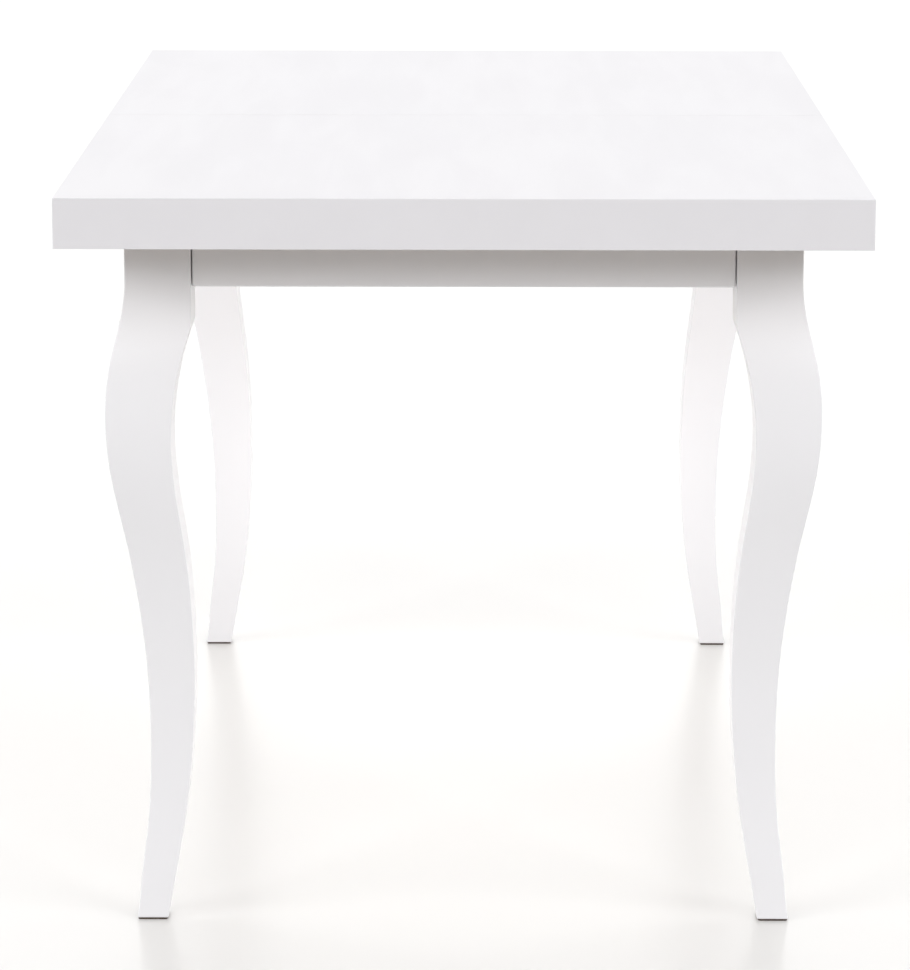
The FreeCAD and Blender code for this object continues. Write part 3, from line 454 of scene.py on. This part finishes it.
def mirrored(bm, *flips):
    """add mirror images of everything; each flip is the signs of x and y"""
    first = bm.verts[:] + bm.edges[:] + bm.faces[:]
    for sx, sy in flips:
        copy = bmesh.ops.duplicate(bm, geom=first)["geom"]
        bmesh.ops.scale(bm, vec=(sx, sy, 1), verts=[v for v in copy if isinstance(v, bmesh.types.BMVert)])
        if sx * sy < 0:
            bmesh.ops.reverse_faces(bm, faces=[f for f in copy if isinstance(f, bmesh.types.BMFace)])


# the three other quarters, for a piece drawn as the rear right one
CORNERS = ((-1, 1), (1, -1), (-1, -1))


def cells(bm, xs, ys, zs, solid):
    """a board-built solid: the grid cells for which solid(i, j, k) holds"""
    corner = {}
    full = [(i, j, k) for i in range(len(xs) - 1) for j in range(len(ys) - 1) for k in range(len(zs) - 1)
            if solid(i, j, k)]
    for cell in full:
        for axis in range(3):
            a, b = [n for n in range(3) if n != axis]
            for side in (0, 1):
                beyond = list(cell)
                beyond[axis] += 2 * side - 1
                if tuple(beyond) in full:
                    continue
                ring = []
                for da, db in ((0, 0), (1, 0), (1, 1), (0, 1)):
                    at = list(cell)
                    at[axis] += side
                    at[a] += da
                    at[b] += db
                    key = tuple(at)
                    if key not in corner:
                        corner[key] = bm.verts.new((xs[key[0]], ys[key[1]], zs[key[2]]))
                    ring.append(corner[key])
                bm.faces.new(ring)
    bmesh.ops.recalc_face_normals(bm, faces=bm.faces)
    bmesh.ops.dissolve_limit(bm, angle_limit=FLAT_ANGLE, verts=bm.verts, edges=bm.edges)


def round_edges(bm, width, segments, test):
    """round the sharp edges for which test(middle p, direction d) holds"""
    edges = []
    for edge in bm.edges:
        a, b = edge.verts
        if edge.calc_face_angle(0.0) > SHARP_ANGLE and test((a.co + b.co) / 2, (b.co - a.co).normalized()):
            edges.append(edge)
    bmesh.ops.bevel(bm, geom=edges, offset=width, segments=segments, profile=0.5, affect="EDGES",
                    clamp_overlap=True)
    bmesh.ops.dissolve_degenerate(bm, dist=TINY, edges=bm.edges)


def mark_arrises(bm):
    """store 1 on the corners of rounded faces, 0 on flat ones"""
    layer = bm.loops.layers.float.new("arris")
    for face in bm.faces:
        along_axis = max(abs(c) for c in face.normal) > ON_AXIS
        for loop in face.loops:
            loop[layer] = 0.0 if along_axis else 1.0


def drilled(bm, holes):
    """the mesh with the holes' mesh cut out of it"""
    objects = []
    for source in (bm, holes):
        mesh = bpy.data.meshes.new("drilling")
        source.to_mesh(mesh)
        source.free()
        obj = bpy.data.objects.new("drilling", mesh)
        bpy.context.scene.collection.objects.link(obj)
        objects.append(obj)
    cut = objects[0].modifiers.new("holes", "BOOLEAN")
    cut.operation = "DIFFERENCE"
    cut.solver = "EXACT"
    cut.object = objects[1]
    depsgraph = bpy.context.evaluated_depsgraph_get()
    result = bpy.data.meshes.new_from_object(objects[0].evaluated_get(depsgraph))
    bm = bmesh.new()
    bm.from_mesh(result)
    bpy.data.meshes.remove(result)
    for obj in objects:
        mesh = obj.data
        bpy.data.objects.remove(obj)
        bpy.data.meshes.remove(mesh)
    return bm


def skin(bm, rings, closed=False):
    """faces from each ring of points to the next; a ring may be a single point"""
    faces = []
    for low, high in zip(rings, rings[1:] + (rings[:1] if closed else [])):
        steps = max(len(low), len(high))
        for i in range(steps):
            j = (i + 1) % steps
            corners = [low[i % len(low)], low[j % len(low)], high[j % len(high)], high[i % len(high)]]
            faces.append(bm.faces.new(list(dict.fromkeys(corners))))
    return faces


def turned(bm, outline, at, axis, steps=32, closed=False):
    """turned part: outline gives (radius, distance along the axis)"""
    axis = Vector(axis).normalized()
    u = axis.orthogonal().normalized()
    v = axis.cross(u)
    rings = []
    for r, h in outline:
        centre = Vector(at) + axis * h
        if r == 0:
            rings.append([bm.verts.new(centre)])
            continue
        turns = [2 * math.pi * i / steps for i in range(steps)]
        rings.append([bm.verts.new(centre + (u * math.cos(a) + v * math.sin(a)) * r) for a in turns])
    skin(bm, rings, closed)


def prism(bm, outline, z0, z1):
    """upright solid with the plan given by (x, y) points"""
    low = [bm.verts.new((x, y, z0)) for x, y in outline]
    high = [bm.verts.new((x, y, z1)) for x, y in outline]
    bm.faces.new(low[::-1])
    bm.faces.new(high)
    skin(bm, [low, high])


# ---------------------------------------------------------------------------
# tops: foil pressed round the board and its skirts, raw board inside
# ---------------------------------------------------------------------------
PANEL_T = 18.0
# rounding of the outer edges, the outer ones of the open side, and the raw ones: radius, segments
OUTER_EDGE, OPEN_EDGE, RAW_EDGE = (1.0, 4), (0.7, 3), (0.4, 2)
SOCKETS_AT = (-320.0, -160.0, 0.0, 160.0, 320.0)
# pin socket: (radius, depth below the face), from a little outside it
SOCKET = ((0, -2), (4.7, -2), (4.7, 0), (4.08, 0.6), (4.08, 14.5), (0, 14.5))


def box_mm(*nodes):
    """lowest and highest corner of the nodes together"""
    boxes = [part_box(n) for n in nodes]
    low = [min(b[0][i] for b in boxes) / MM for i in range(3)]
    high = [max(b[1][i] for b in boxes) / MM for i in range(3)]
    return low, high


def finish_top(bm, low, high, inside, z_open):
    """round the outer edges more than the raw ones, and tell foil from board"""
    def outer(p):
        """on one of the four sides"""
        return any(min(abs(p[i] - low[i]), abs(p[i] - high[i])) < AT_FACE for i in (0, 1))

    def rim(p, d):
        """level, round the open side"""
        return abs(p.z - z_open) < AT_FACE and abs(d.z) < LEVEL

    round_edges(bm, *OUTER_EDGE, lambda p, d: outer(p) and abs(p.z - z_open) > APART)
    round_edges(bm, *OPEN_EDGE, lambda p, d: outer(p) and rim(p, d))
    round_edges(bm, *RAW_EDGE, lambda p, d: not outer(p) and rim(p, d))
    for face in bm.faces:
        face.material_index = 1 if inside(face.calc_center_median()) else 0
    shade(bm)
    mark_arrises(bm)


def sockets(places, axis):
    """the sockets' mesh, to be cut out of a top"""
    holes = bmesh.new()
    for at in places:
        turned(holes, SOCKET, at, axis)
    bmesh.ops.recalc_face_normals(holes, faces=holes.faces)
    return holes


def make_half_top(name, side):
    """one half of the top; side is -1 for the front one, 1 for the rear one, which has the sockets"""
    nodes = [name + ending for ending in ("_panel", "_end_skirt", "_left_skirt", "_right_skirt")]
    low, high = box_mm(*nodes)
    split = high[2] - PANEL_T
    xs = [low[0], low[0] + PANEL_T, high[0] - PANEL_T, high[0]]
    ys = [low[1], low[1] + PANEL_T if side < 0 else high[1] - PANEL_T, high[1]]
    end = 0 if side < 0 else 1
    bm = bmesh.new()
    cells(bm, xs, ys, [low[2], split, high[2]], lambda i, j, k: k == 1 or i != 1 or j == end)
    raw_x = high[0] - PANEL_T + MARGIN
    raw_y = max(abs(low[1]), abs(high[1])) - PANEL_T + MARGIN
    raw_z = split + MARGIN
    finish_top(bm, low, high,
               lambda c: abs(c.x) < raw_x and APART < abs(c.y) < raw_y and c.z < raw_z, low[2])
    if side > 0:
        bm = drilled(bm, sockets([(x, low[1], split + PANEL_T / 2) for x in SOCKETS_AT], (0, 1, 0)))
    flat_faces_win(make_piece(name + "_half", bm, name + "_top", nodes, FOIL, BOARD))


def make_leaf():
    """the stowed leaf, upside down, with sockets along one long edge"""
    nodes = ["leaf_panel", "leaf_front_skirt", "leaf_rear_skirt"]
    low, high = box_mm(*nodes)
    split = low[2] + PANEL_T
    ys = [low[1], low[1] + PANEL_T, high[1] - PANEL_T, high[1]]
    bm = bmesh.new()
    cells(bm, [low[0], high[0]], ys, [low[2], split, high[2]], lambda i, j, k: k == 0 or j != 1)
    raw_y = high[1] - PANEL_T + MARGIN
    finish_top(bm, low, high,
               lambda c: abs(c.x) < high[0] - APART and abs(c.y) < raw_y and c.z > split - MARGIN, high[2])
    bm = drilled(bm, sockets([(low[0], y, low[2] + PANEL_T / 2) for y in SOCKETS_AT], (1, 0, 0)))
    flat_faces_win(make_piece("leaf_board", bm, "leaf", nodes, FOIL, BOARD))


make_half_top("front", -1)
make_half_top("rear", 1)
make_leaf()


# ---------------------------------------------------------------------------
# legs: the same curve seen from the front and from the side
# ---------------------------------------------------------------------------
BLOCK_X, BLOCK_Y = (270.0, 336.0), (564.0, 630.0)
BLOCK_CHAMFER = 14.0
CHAMFER_Z = 654.0
LEG_TOP = 730.0
LEG_R = 1.2                  # rounding of the long edges
ARRIS_STEPS = 4
FOOT_Z, FOOT_CHAMFER = 2.0, 0.8
FOOT_KICK = -13 / 60         # slope of the outer curve at the foot
RING_STEP = 7.0
# (height, offset outwards from the faces of the block)
OUTER = ((660, 0.0), (620, 4.6), (580, 14.2), (520, 19.5), (460, 14.2), (400, 2.3), (320, -10.8),
         (260, -16.9), (180, -19.4), (100, -16.1), (40, -9.0), (FOOT_Z, -4.5))
INNER = ((612, 0.0), (580, 9.8), (540, 17.6), (498, 20.3), (440, 16.2), (380, 8.1), (320, 3.1),
         (250, 1.2), (180, 3.9), (100, 12.7), (40, 23.1), (FOOT_Z, 29.6))
# name and the signs of x and y
LEGS = (("rear_right", 1, 1), ("rear_left", -1, 1), ("front_right", 1, -1), ("front_left", -1, -1))


def spline(points, start=None, stop=None):
    """function of height through the points, smooth, natural at an end unless the slope there is given"""
    z = [p[0] for p in points]
    y = [p[1] for p in points]
    n = len(points)
    h = [z[i + 1] - z[i] for i in range(n - 1)]
    rise = [(y[i + 1] - y[i]) / h[i] for i in range(n - 1)]
    # row i of the equations: low * slope before + mid * slope here + high * slope after = right
    low, mid, high = [0.0] * n, [2.0] * n, [1.0] * n
    right = [3 * rise[0]] + [0.0] * (n - 2) + [3 * rise[-1]]
    low[-1] = 1.0
    if start is not None:
        mid[0], high[0], right[0] = 1.0, 0.0, start
    if stop is not None:
        mid[-1], low[-1], right[-1] = 1.0, 0.0, stop
    for i in range(1, n - 1):
        low[i], high[i] = h[i] / (h[i - 1] + h[i]), h[i - 1] / (h[i - 1] + h[i])
        right[i] = 3 * (low[i] * rise[i - 1] + high[i] * rise[i])
    for i in range(1, n):
        w = low[i] / mid[i - 1]
        mid[i] -= w * high[i - 1]
        right[i] -= w * right[i - 1]
    slope = [0.0] * n
    slope[-1] = right[-1] / mid[-1]
    for i in range(n - 2, -1, -1):
        slope[i] = (right[i] - high[i] * slope[i + 1]) / mid[i]

    def at(height):
        if height >= z[0]:
            return y[0]
        i = next(k for k in range(n - 1) if height >= z[k + 1] or k == n - 2)
        t = (height - z[i]) / h[i]
        a, b = slope[i] * h[i], slope[i + 1] * h[i]
        return (y[i] * (1 + 2 * t) * (1 - t) ** 2 + a * t * (1 - t) ** 2
                + y[i + 1] * t * t * (3 - 2 * t) - b * t * t * (1 - t))
    return at


def leg_section(x0, x1, y0, y1, chamfer=0.0):
    """plan of the leg, from the inner corner round; every section has the same number of points"""
    points = []
    for cx, cy, first in ((x0, y0, 180), (x1, y0, 270), (x1, y1, 0), (x0, y1, 90)):
        for i in range(ARRIS_STEPS + 1):
            share = i / ARRIS_STEPS
            if chamfer and (cx, cy) == (x0, y0):
                points.append((x0 + chamfer * share, y0 + chamfer * (1 - share)))
                continue
            a = math.radians(first + 90 * share)
            centre_x = cx + (LEG_R if cx == x0 else -LEG_R)
            centre_y = cy + (LEG_R if cy == y0 else -LEG_R)
            points.append((centre_x + LEG_R * math.cos(a), centre_y + LEG_R * math.sin(a)))
    return points


def make_legs():
    """four legs: the rear right one's points, with the signs of x and y changed for the others"""
    outer, inner = spline(OUTER, start=0.0, stop=FOOT_KICK), spline(INNER)
    foot_top = FOOT_Z + FOOT_CHAMFER
    crease = INNER[0][0]
    fixed = [FOOT_Z, foot_top, crease, OUTER[0][0], CHAMFER_Z, LEG_TOP]
    count = int((OUTER[0][0] - foot_top) / RING_STEP)
    heights = sorted(set(fixed + [foot_top + RING_STEP * (i + 0.5) for i in range(count)]))
    sections = []
    for z in heights:
        draw_in = FOOT_CHAMFER if z == FOOT_Z else 0.0
        a, b = inner(z) + draw_in, outer(z) - draw_in
        plan = (BLOCK_X[0] + a, BLOCK_X[1] + b, BLOCK_Y[0] + a, BLOCK_Y[1] + b)
        if z <= CHAMFER_Z:
            sections.append((z, leg_section(*plan)))
        if z >= CHAMFER_Z:
            sections.append((z, leg_section(*plan, chamfer=BLOCK_CHAMFER)))
    for name, sx, sy in LEGS:
        bm = bmesh.new()
        arris = bm.loops.layers.float.new("arris")
        rings = [[bm.verts.new((x * sx, y * sy, z)) for x, y in plan] for z, plan in sections]
        for i, face in enumerate(skin(bm, rings)):
            rounded = 1.0 if i % (ARRIS_STEPS + 1) != ARRIS_STEPS else 0.0
            for loop in face.loops:
                loop[arris] = rounded
        bm.faces.new(rings[0])
        bm.faces.new(rings[-1])
        bmesh.ops.remove_doubles(bm, verts=bm.verts, dist=WELD)
        bmesh.ops.dissolve_degenerate(bm, dist=TINY, edges=bm.edges)
        shade(bm)
        for edge in bm.edges:
            a, b = [v.co for v in edge.verts]
            off_x, off_y = abs(a.x + b.x) / 2 - BLOCK_X[0], abs(a.y + b.y) / 2 - BLOCK_Y[0]
            inner_side = abs(off_x) < APART or abs(off_y) < APART
            if abs(a.z - crease) < AT_FACE and abs(b.z - crease) < AT_FACE and inner_side:
                edge.smooth = False
        make_piece("leg_" + name, bm, "frame", [name + "_leg"], LACQUER)


make_legs()


# ---------------------------------------------------------------------------
# felt: foot pads and the strips the leaf lies on
# ---------------------------------------------------------------------------
FELT_STEP = 1.0              # between the points of an outline
FELT_RAGGED = 0.35           # how far the cut sides wander inwards
RAG_SCALE = (0.8, 0.8, 0.9)
# (share of the thickness, how far the side is drawn in there)
FELT_SIDE = ((0.0, 0.35), (0.15, 0.08), (0.5, 0.0), (0.85, 0.08), (1.0, 0.3))
CORNER_PULL = 1.4            # how far points are drawn in, for each mm outside the rounded corner
FOOT_PAD = 30.0
STRIP_FROM_X, STRIP_HALF = 60.0, 12.0
PAD_CORNER, STRIP_CORNER = 2.0, 1.0


def felt_pad(bm, x0, x1, y0, y1, z0, z1, corner):
    """cut felt: a block with ragged sides, soft upper and lower edges and rounded corners"""
    corners = ((x0, y0), (x1, y0), (x1, y1), (x0, y1))
    plan = []
    for (ax, ay), (bx, by) in zip(corners, corners[1:] + corners[:1]):
        n = int((abs(bx - ax) + abs(by - ay)) / FELT_STEP)
        plan += [(ax + (bx - ax) * i / n, ay + (by - ay) * i / n) for i in range(n)]
    mid_x, mid_y = (x0 + x1) / 2, (y0 + y1) / 2
    rings = []
    for share, inset in FELT_SIDE:
        z = z0 + share * (z1 - z0)
        ring = []
        for x, y in plan:
            rag = FELT_RAGGED * (0.5 + 0.5 * noise.noise([c * s for c, s in zip((x, y, z), RAG_SCALE)]))
            dx = max(0.0, corner - min(x - x0, x1 - x))
            dy = max(0.0, corner - min(y - y0, y1 - y))
            cut = max(0.0, math.hypot(dx, dy) - corner) * CORNER_PULL
            inward = Vector((mid_x - x, mid_y - y)).normalized() if cut else Vector((0, 0))
            sx = 1 if x < x0 + ON_SIDE else -1 if x > x1 - ON_SIDE else 0
            sy = 1 if y < y0 + ON_SIDE else -1 if y > y1 - ON_SIDE else 0
            ring.append(bm.verts.new((x + sx * (rag + inset) + inward.x * cut,
                                      y + sy * (rag + inset) + inward.y * cut, z)))
        rings.append(ring)
    skin(bm, rings)
    bm.faces.new(rings[0][::-1])
    bm.faces.new(rings[-1])


def make_felts():
    """pads under the feet, and three pairs of strips across the table that carry the leaf"""
    bm = bmesh.new()
    low, high = box_mm("foot_pads")
    felt_pad(bm, high[0] - FOOT_PAD, high[0], high[1] - FOOT_PAD, high[1], low[2], high[2], PAD_CORNER)
    mirrored(bm, *CORNERS)
    shade(bm, SOFT_CRISP)
    make_piece("foot_felts", bm, "frame", ["foot_pads"], PAD)
    bm = bmesh.new()
    low, high = box_mm("leaf_felts")
    for y in (high[1] - STRIP_HALF, 0.0, low[1] + STRIP_HALF):
        felt_pad(bm, STRIP_FROM_X, high[0], y - STRIP_HALF, y + STRIP_HALF, low[2], high[2], STRIP_CORNER)
    mirrored(bm, (-1, 1))
    shade(bm, SOFT_CRISP)
    make_piece("leaf_rest_felts", bm, "frame", ["leaf_felts"], FELT)


make_felts()


# ---------------------------------------------------------------------------
# corner brackets with their bolts, nuts and washers
# ---------------------------------------------------------------------------
APRON_IN_X, APRON_IN_Y = 310.0, 607.0
CHAMFER_SUM = BLOCK_X[0] + BLOCK_Y[0] + BLOCK_CHAMFER    # x + y on the chamfer of the leg's block
FACE_GAP, SHEET_GAP = 0.1, 0.05
SHEET = 3.0
BEND_R, BEND_STEPS = 4.5, 5
WING_X, WING_Y = 32.0, 30.0
WING_CORNER, SHEET_EDGE = (4.0, 4), (0.4, 2)     # radius, segments
WING_END = 0.5               # edges this near are at the end of a wing
PLATE_SCREW_X, PLATE_SCREW_Y, PLATE_SCREW_Z = 222.0, 520.0, (674.0, 710.0)
# (radius, depth) of the holes, from outside the sheet through it
SCREW_SEAT = ((0, -2), (4.06, -2), (4.06, 0.4), (2.06, 2.2), (2.06, 5), (0, 5))
BOLT_HOLE = ((0, -8), (4.3, -8), (4.3, 8), (0, 8))
BOLT_Z = (676.0, 710.0)
BOLT_R, BOLT_PITCH, THREAD_DEPTH = 3.95, 1.25, 0.65
BOLT_IN_WOOD, BOLT_LENGTH = 38.0, 62.0
BOLT_POINT, BOLT_POINT_R = 0.8, 0.75     # length of the tapered ends, and their radius as a share of the rest
THREAD_FROM, RINGS_PER_TURN = 34.0, 6
HOLE_STEPS, BOLT_STEPS, WASHER_STEPS, NUT_STEPS = 24, 18, 40, 72
NUT_FLAT, NUT_T = 6.5, 6.5
NUT_LEAD = 0.6               # chamfer of the threaded hole
NUT_FACE = 0.97              # radius of the round end faces, as a share of NUT_FLAT
NUT_SLOPE = math.tan(math.radians(30))
NUT_RINGS = (0.15, 0.3, 0.45, 0.65)
WASHER_R, WASHER_HOLE_R, WASHER_T = 9.0, 4.2, 1.6
WASHER_RIM, WASHER_LIP = 0.3, 0.2        # outer and inner chamfer
DIAGONAL = math.sqrt(0.5)
INWARDS = Vector((-DIAGONAL, -DIAGONAL, 0))


def on_bolt_line(outwards, z):
    """point on a bolt's axis, so far outwards from the chamfer of the leg's block"""
    x = (CHAMFER_SUM + BLOCK_X[0] - BLOCK_Y[0]) / 2
    return Vector((x, CHAMFER_SUM - x, z)) - INWARDS * outwards


def ring_across(bm, centre, radii):
    """ring of points square to the bolts, as many as there are radii"""
    u = Vector((0, 0, 1))
    v = INWARDS.cross(u)
    turns = [2 * math.pi * i / len(radii) for i in range(len(radii))]
    return [bm.verts.new(centre + (u * math.cos(a) + v * math.sin(a)) * r) for a, r in zip(turns, radii)]


def bent_strip(points, thick):
    """plan of a sheet of even thickness whose middle follows the points, bent at each one between"""
    points = [Vector(p) for p in points]
    path = [points[0]]
    for before, at, after in zip(points, points[1:], points[2:]):
        u, v = (before - at).normalized(), (after - at).normalized()
        half = math.acos(max(-1, min(1, u.dot(v)))) / 2
        centre = at + (u + v).normalized() * (BEND_R / math.sin(half))
        start, stop = at + u * (BEND_R / math.tan(half)) - centre, at + v * (BEND_R / math.tan(half)) - centre
        for i in range(BEND_STEPS + 1):
            share = i / BEND_STEPS
            path.append(centre + (start * (1 - share) + stop * share).normalized() * BEND_R)
    path.append(points[-1])
    left, right = [], []
    for i, p in enumerate(path):
        along = (path[min(i + 1, len(path) - 1)] - path[max(i - 1, 0)]).normalized()
        across = Vector((-along.y, along.x)) * (thick / 2)
        left.append(p + across)
        right.append(p - across)
    return [tuple(p) for p in left + right[::-1]]


def make_brackets():
    """corner plates: two wings on the aprons, and a middle across the leg's block"""
    low, high = box_mm("corner_brackets")
    face = CHAMFER_SUM - FACE_GAP
    mid = face - SHEET / 2 * math.sqrt(2)
    x1, y1 = APRON_IN_X - SHEET_GAP, APRON_IN_Y - SHEET_GAP
    x, y = x1 - SHEET / 2, y1 - SHEET / 2
    end_y, end_x = face - x1 - WING_X, face - y1 - WING_Y
    plan = bent_strip([(x, end_y), (x, mid - x), (mid - y, y), (end_x, y)], SHEET)
    bm = bmesh.new()
    prism(bm, plan, low[2], high[2])

    def wing_corner(p, d):
        """runs through the sheet, at the end of a wing"""
        along_axis = abs(d.x * d.y) < ALONG_AXIS and abs(d.z) < ALONG_AXIS
        return along_axis and (p.y < end_y + WING_END or p.x < end_x + WING_END)

    round_edges(bm, *WING_CORNER, wing_corner)
    round_edges(bm, *SHEET_EDGE, lambda p, d: True)
    holes = bmesh.new()
    for z in BOLT_Z:
        turned(holes, BOLT_HOLE, on_bolt_line(0, z), INWARDS, HOLE_STEPS)
    for z in PLATE_SCREW_Z:
        turned(holes, SCREW_SEAT, (x1 - SHEET, PLATE_SCREW_Y, z), (1, 0, 0))
        turned(holes, SCREW_SEAT, (PLATE_SCREW_X, y1 - SHEET, z), (0, 1, 0))
    bmesh.ops.recalc_face_normals(bm, faces=bm.faces)
    bmesh.ops.recalc_face_normals(holes, faces=holes.faces)
    bm = drilled(bm, holes)
    mirrored(bm, *CORNERS)
    shade(bm)
    flat_faces_win(make_piece("corner_plates", bm, "frame", ["corner_brackets"], STEEL))


def make_bolts():
    """hanger bolts: plain in the wood, threaded outside it, tapered at both ends"""
    count = int((BOLT_LENGTH - THREAD_FROM) / BOLT_PITCH * RINGS_PER_TURN)
    threaded = [THREAD_FROM + (BOLT_LENGTH - THREAD_FROM) * i / count for i in range(count + 1)]
    bm = bmesh.new()
    for z in BOLT_Z:
        start = on_bolt_line(BOLT_IN_WOOD, z)
        rings = []
        for h in [0.0, BOLT_POINT] + threaded:
            point = min(h, BOLT_LENGTH - h) / BOLT_POINT
            taper = min(1.0, BOLT_POINT_R + (1 - BOLT_POINT_R) * point)
            radii = []
            for i in range(BOLT_STEPS):
                phase = (h / BOLT_PITCH - i / BOLT_STEPS) % 1.0
                depth = THREAD_DEPTH * abs(2 * phase - 1) if h > THREAD_FROM else 0.0
                radii.append((BOLT_R - depth) * taper)
            rings.append(ring_across(bm, start + INWARDS * h, radii))
        skin(bm, rings)
        bm.faces.new(rings[0])
        bm.faces.new(rings[-1])
    mirrored(bm, *CORNERS)
    shade(bm, SOFT_CRISP)
    make_piece("corner_bolts", bm, "frame", ["hanger_bolts"], ZINC)


def make_nuts_and_washers():
    """on each bolt a washer against the plate, then a hexagon nut with chamfered ends"""
    washer_at = -FACE_GAP * DIAGONAL - SHEET - SHEET_GAP
    nut_at = washer_at - WASHER_T - SHEET_GAP
    turns = [2 * math.pi * i / NUT_STEPS for i in range(NUT_STEPS)]
    hexagon = [NUT_FLAT / math.cos((a + math.pi / 6) % (math.pi / 3) - math.pi / 6) for a in turns]
    heights = [0, *NUT_RINGS, NUT_T / 2, *(NUT_T - h for h in reversed(NUT_RINGS)), NUT_T]
    # (height, radii) of the rings: up the outside, then back down through the hole
    rings_at = [(0, [BOLT_R + NUT_LEAD] * NUT_STEPS)]
    for h in heights:
        cone = NUT_FLAT * NUT_FACE + min(h, NUT_T - h) / NUT_SLOPE
        rings_at.append((h, [min(r, cone) for r in hexagon]))
    for h, r in ((NUT_T, BOLT_R + NUT_LEAD), (NUT_T - NUT_LEAD, BOLT_R), (NUT_LEAD, BOLT_R)):
        rings_at.append((h, [r] * NUT_STEPS))
    washer = ((WASHER_HOLE_R, 0), (WASHER_R - WASHER_RIM, 0), (WASHER_R, WASHER_RIM),
              (WASHER_R, WASHER_T - WASHER_RIM), (WASHER_R - WASHER_RIM, WASHER_T),
              (WASHER_HOLE_R + WASHER_LIP, WASHER_T), (WASHER_HOLE_R, WASHER_T - WASHER_LIP))
    nuts, washers = bmesh.new(), bmesh.new()
    for z in BOLT_Z:
        at = on_bolt_line(nut_at, z)
        skin(nuts, [ring_across(nuts, at + INWARDS * h, radii) for h, radii in rings_at], closed=True)
        turned(washers, washer, on_bolt_line(washer_at, z), INWARDS, WASHER_STEPS, closed=True)
    for name, bm, node in (("corner_nuts", nuts, "bolt_nuts"), ("corner_washers", washers, "bolt_washers")):
        mirrored(bm, *CORNERS)
        shade(bm)
        make_piece(name, bm, "frame", [node], ZINC)


make_brackets()
make_bolts()
make_nuts_and_washers()


# ---------------------------------------------------------------------------
# floor
# ---------------------------------------------------------------------------
FLOOR_HALF = 60.0            # m


def make_floor():
    mesh = bpy.data.meshes.new("floor")
    square = [(x * FLOOR_HALF, y * FLOOR_HALF, 0) for x, y in ((-1, -1), (1, -1), (1, 1), (-1, 1))]
    mesh.from_pydata(square, [], [(0, 1, 2, 3)])
    floor = bpy.data.objects.new("floor", mesh)
    bpy.context.scene.collection.objects.link(floor)
    floor.location.z = CAD_BOX[0].z
    paint(floor, studio_floor("floor"))


make_camera()
make_sky()
make_fill()
make_floor()
bpy.context.scene.view_settings.view_transform = "Standard"
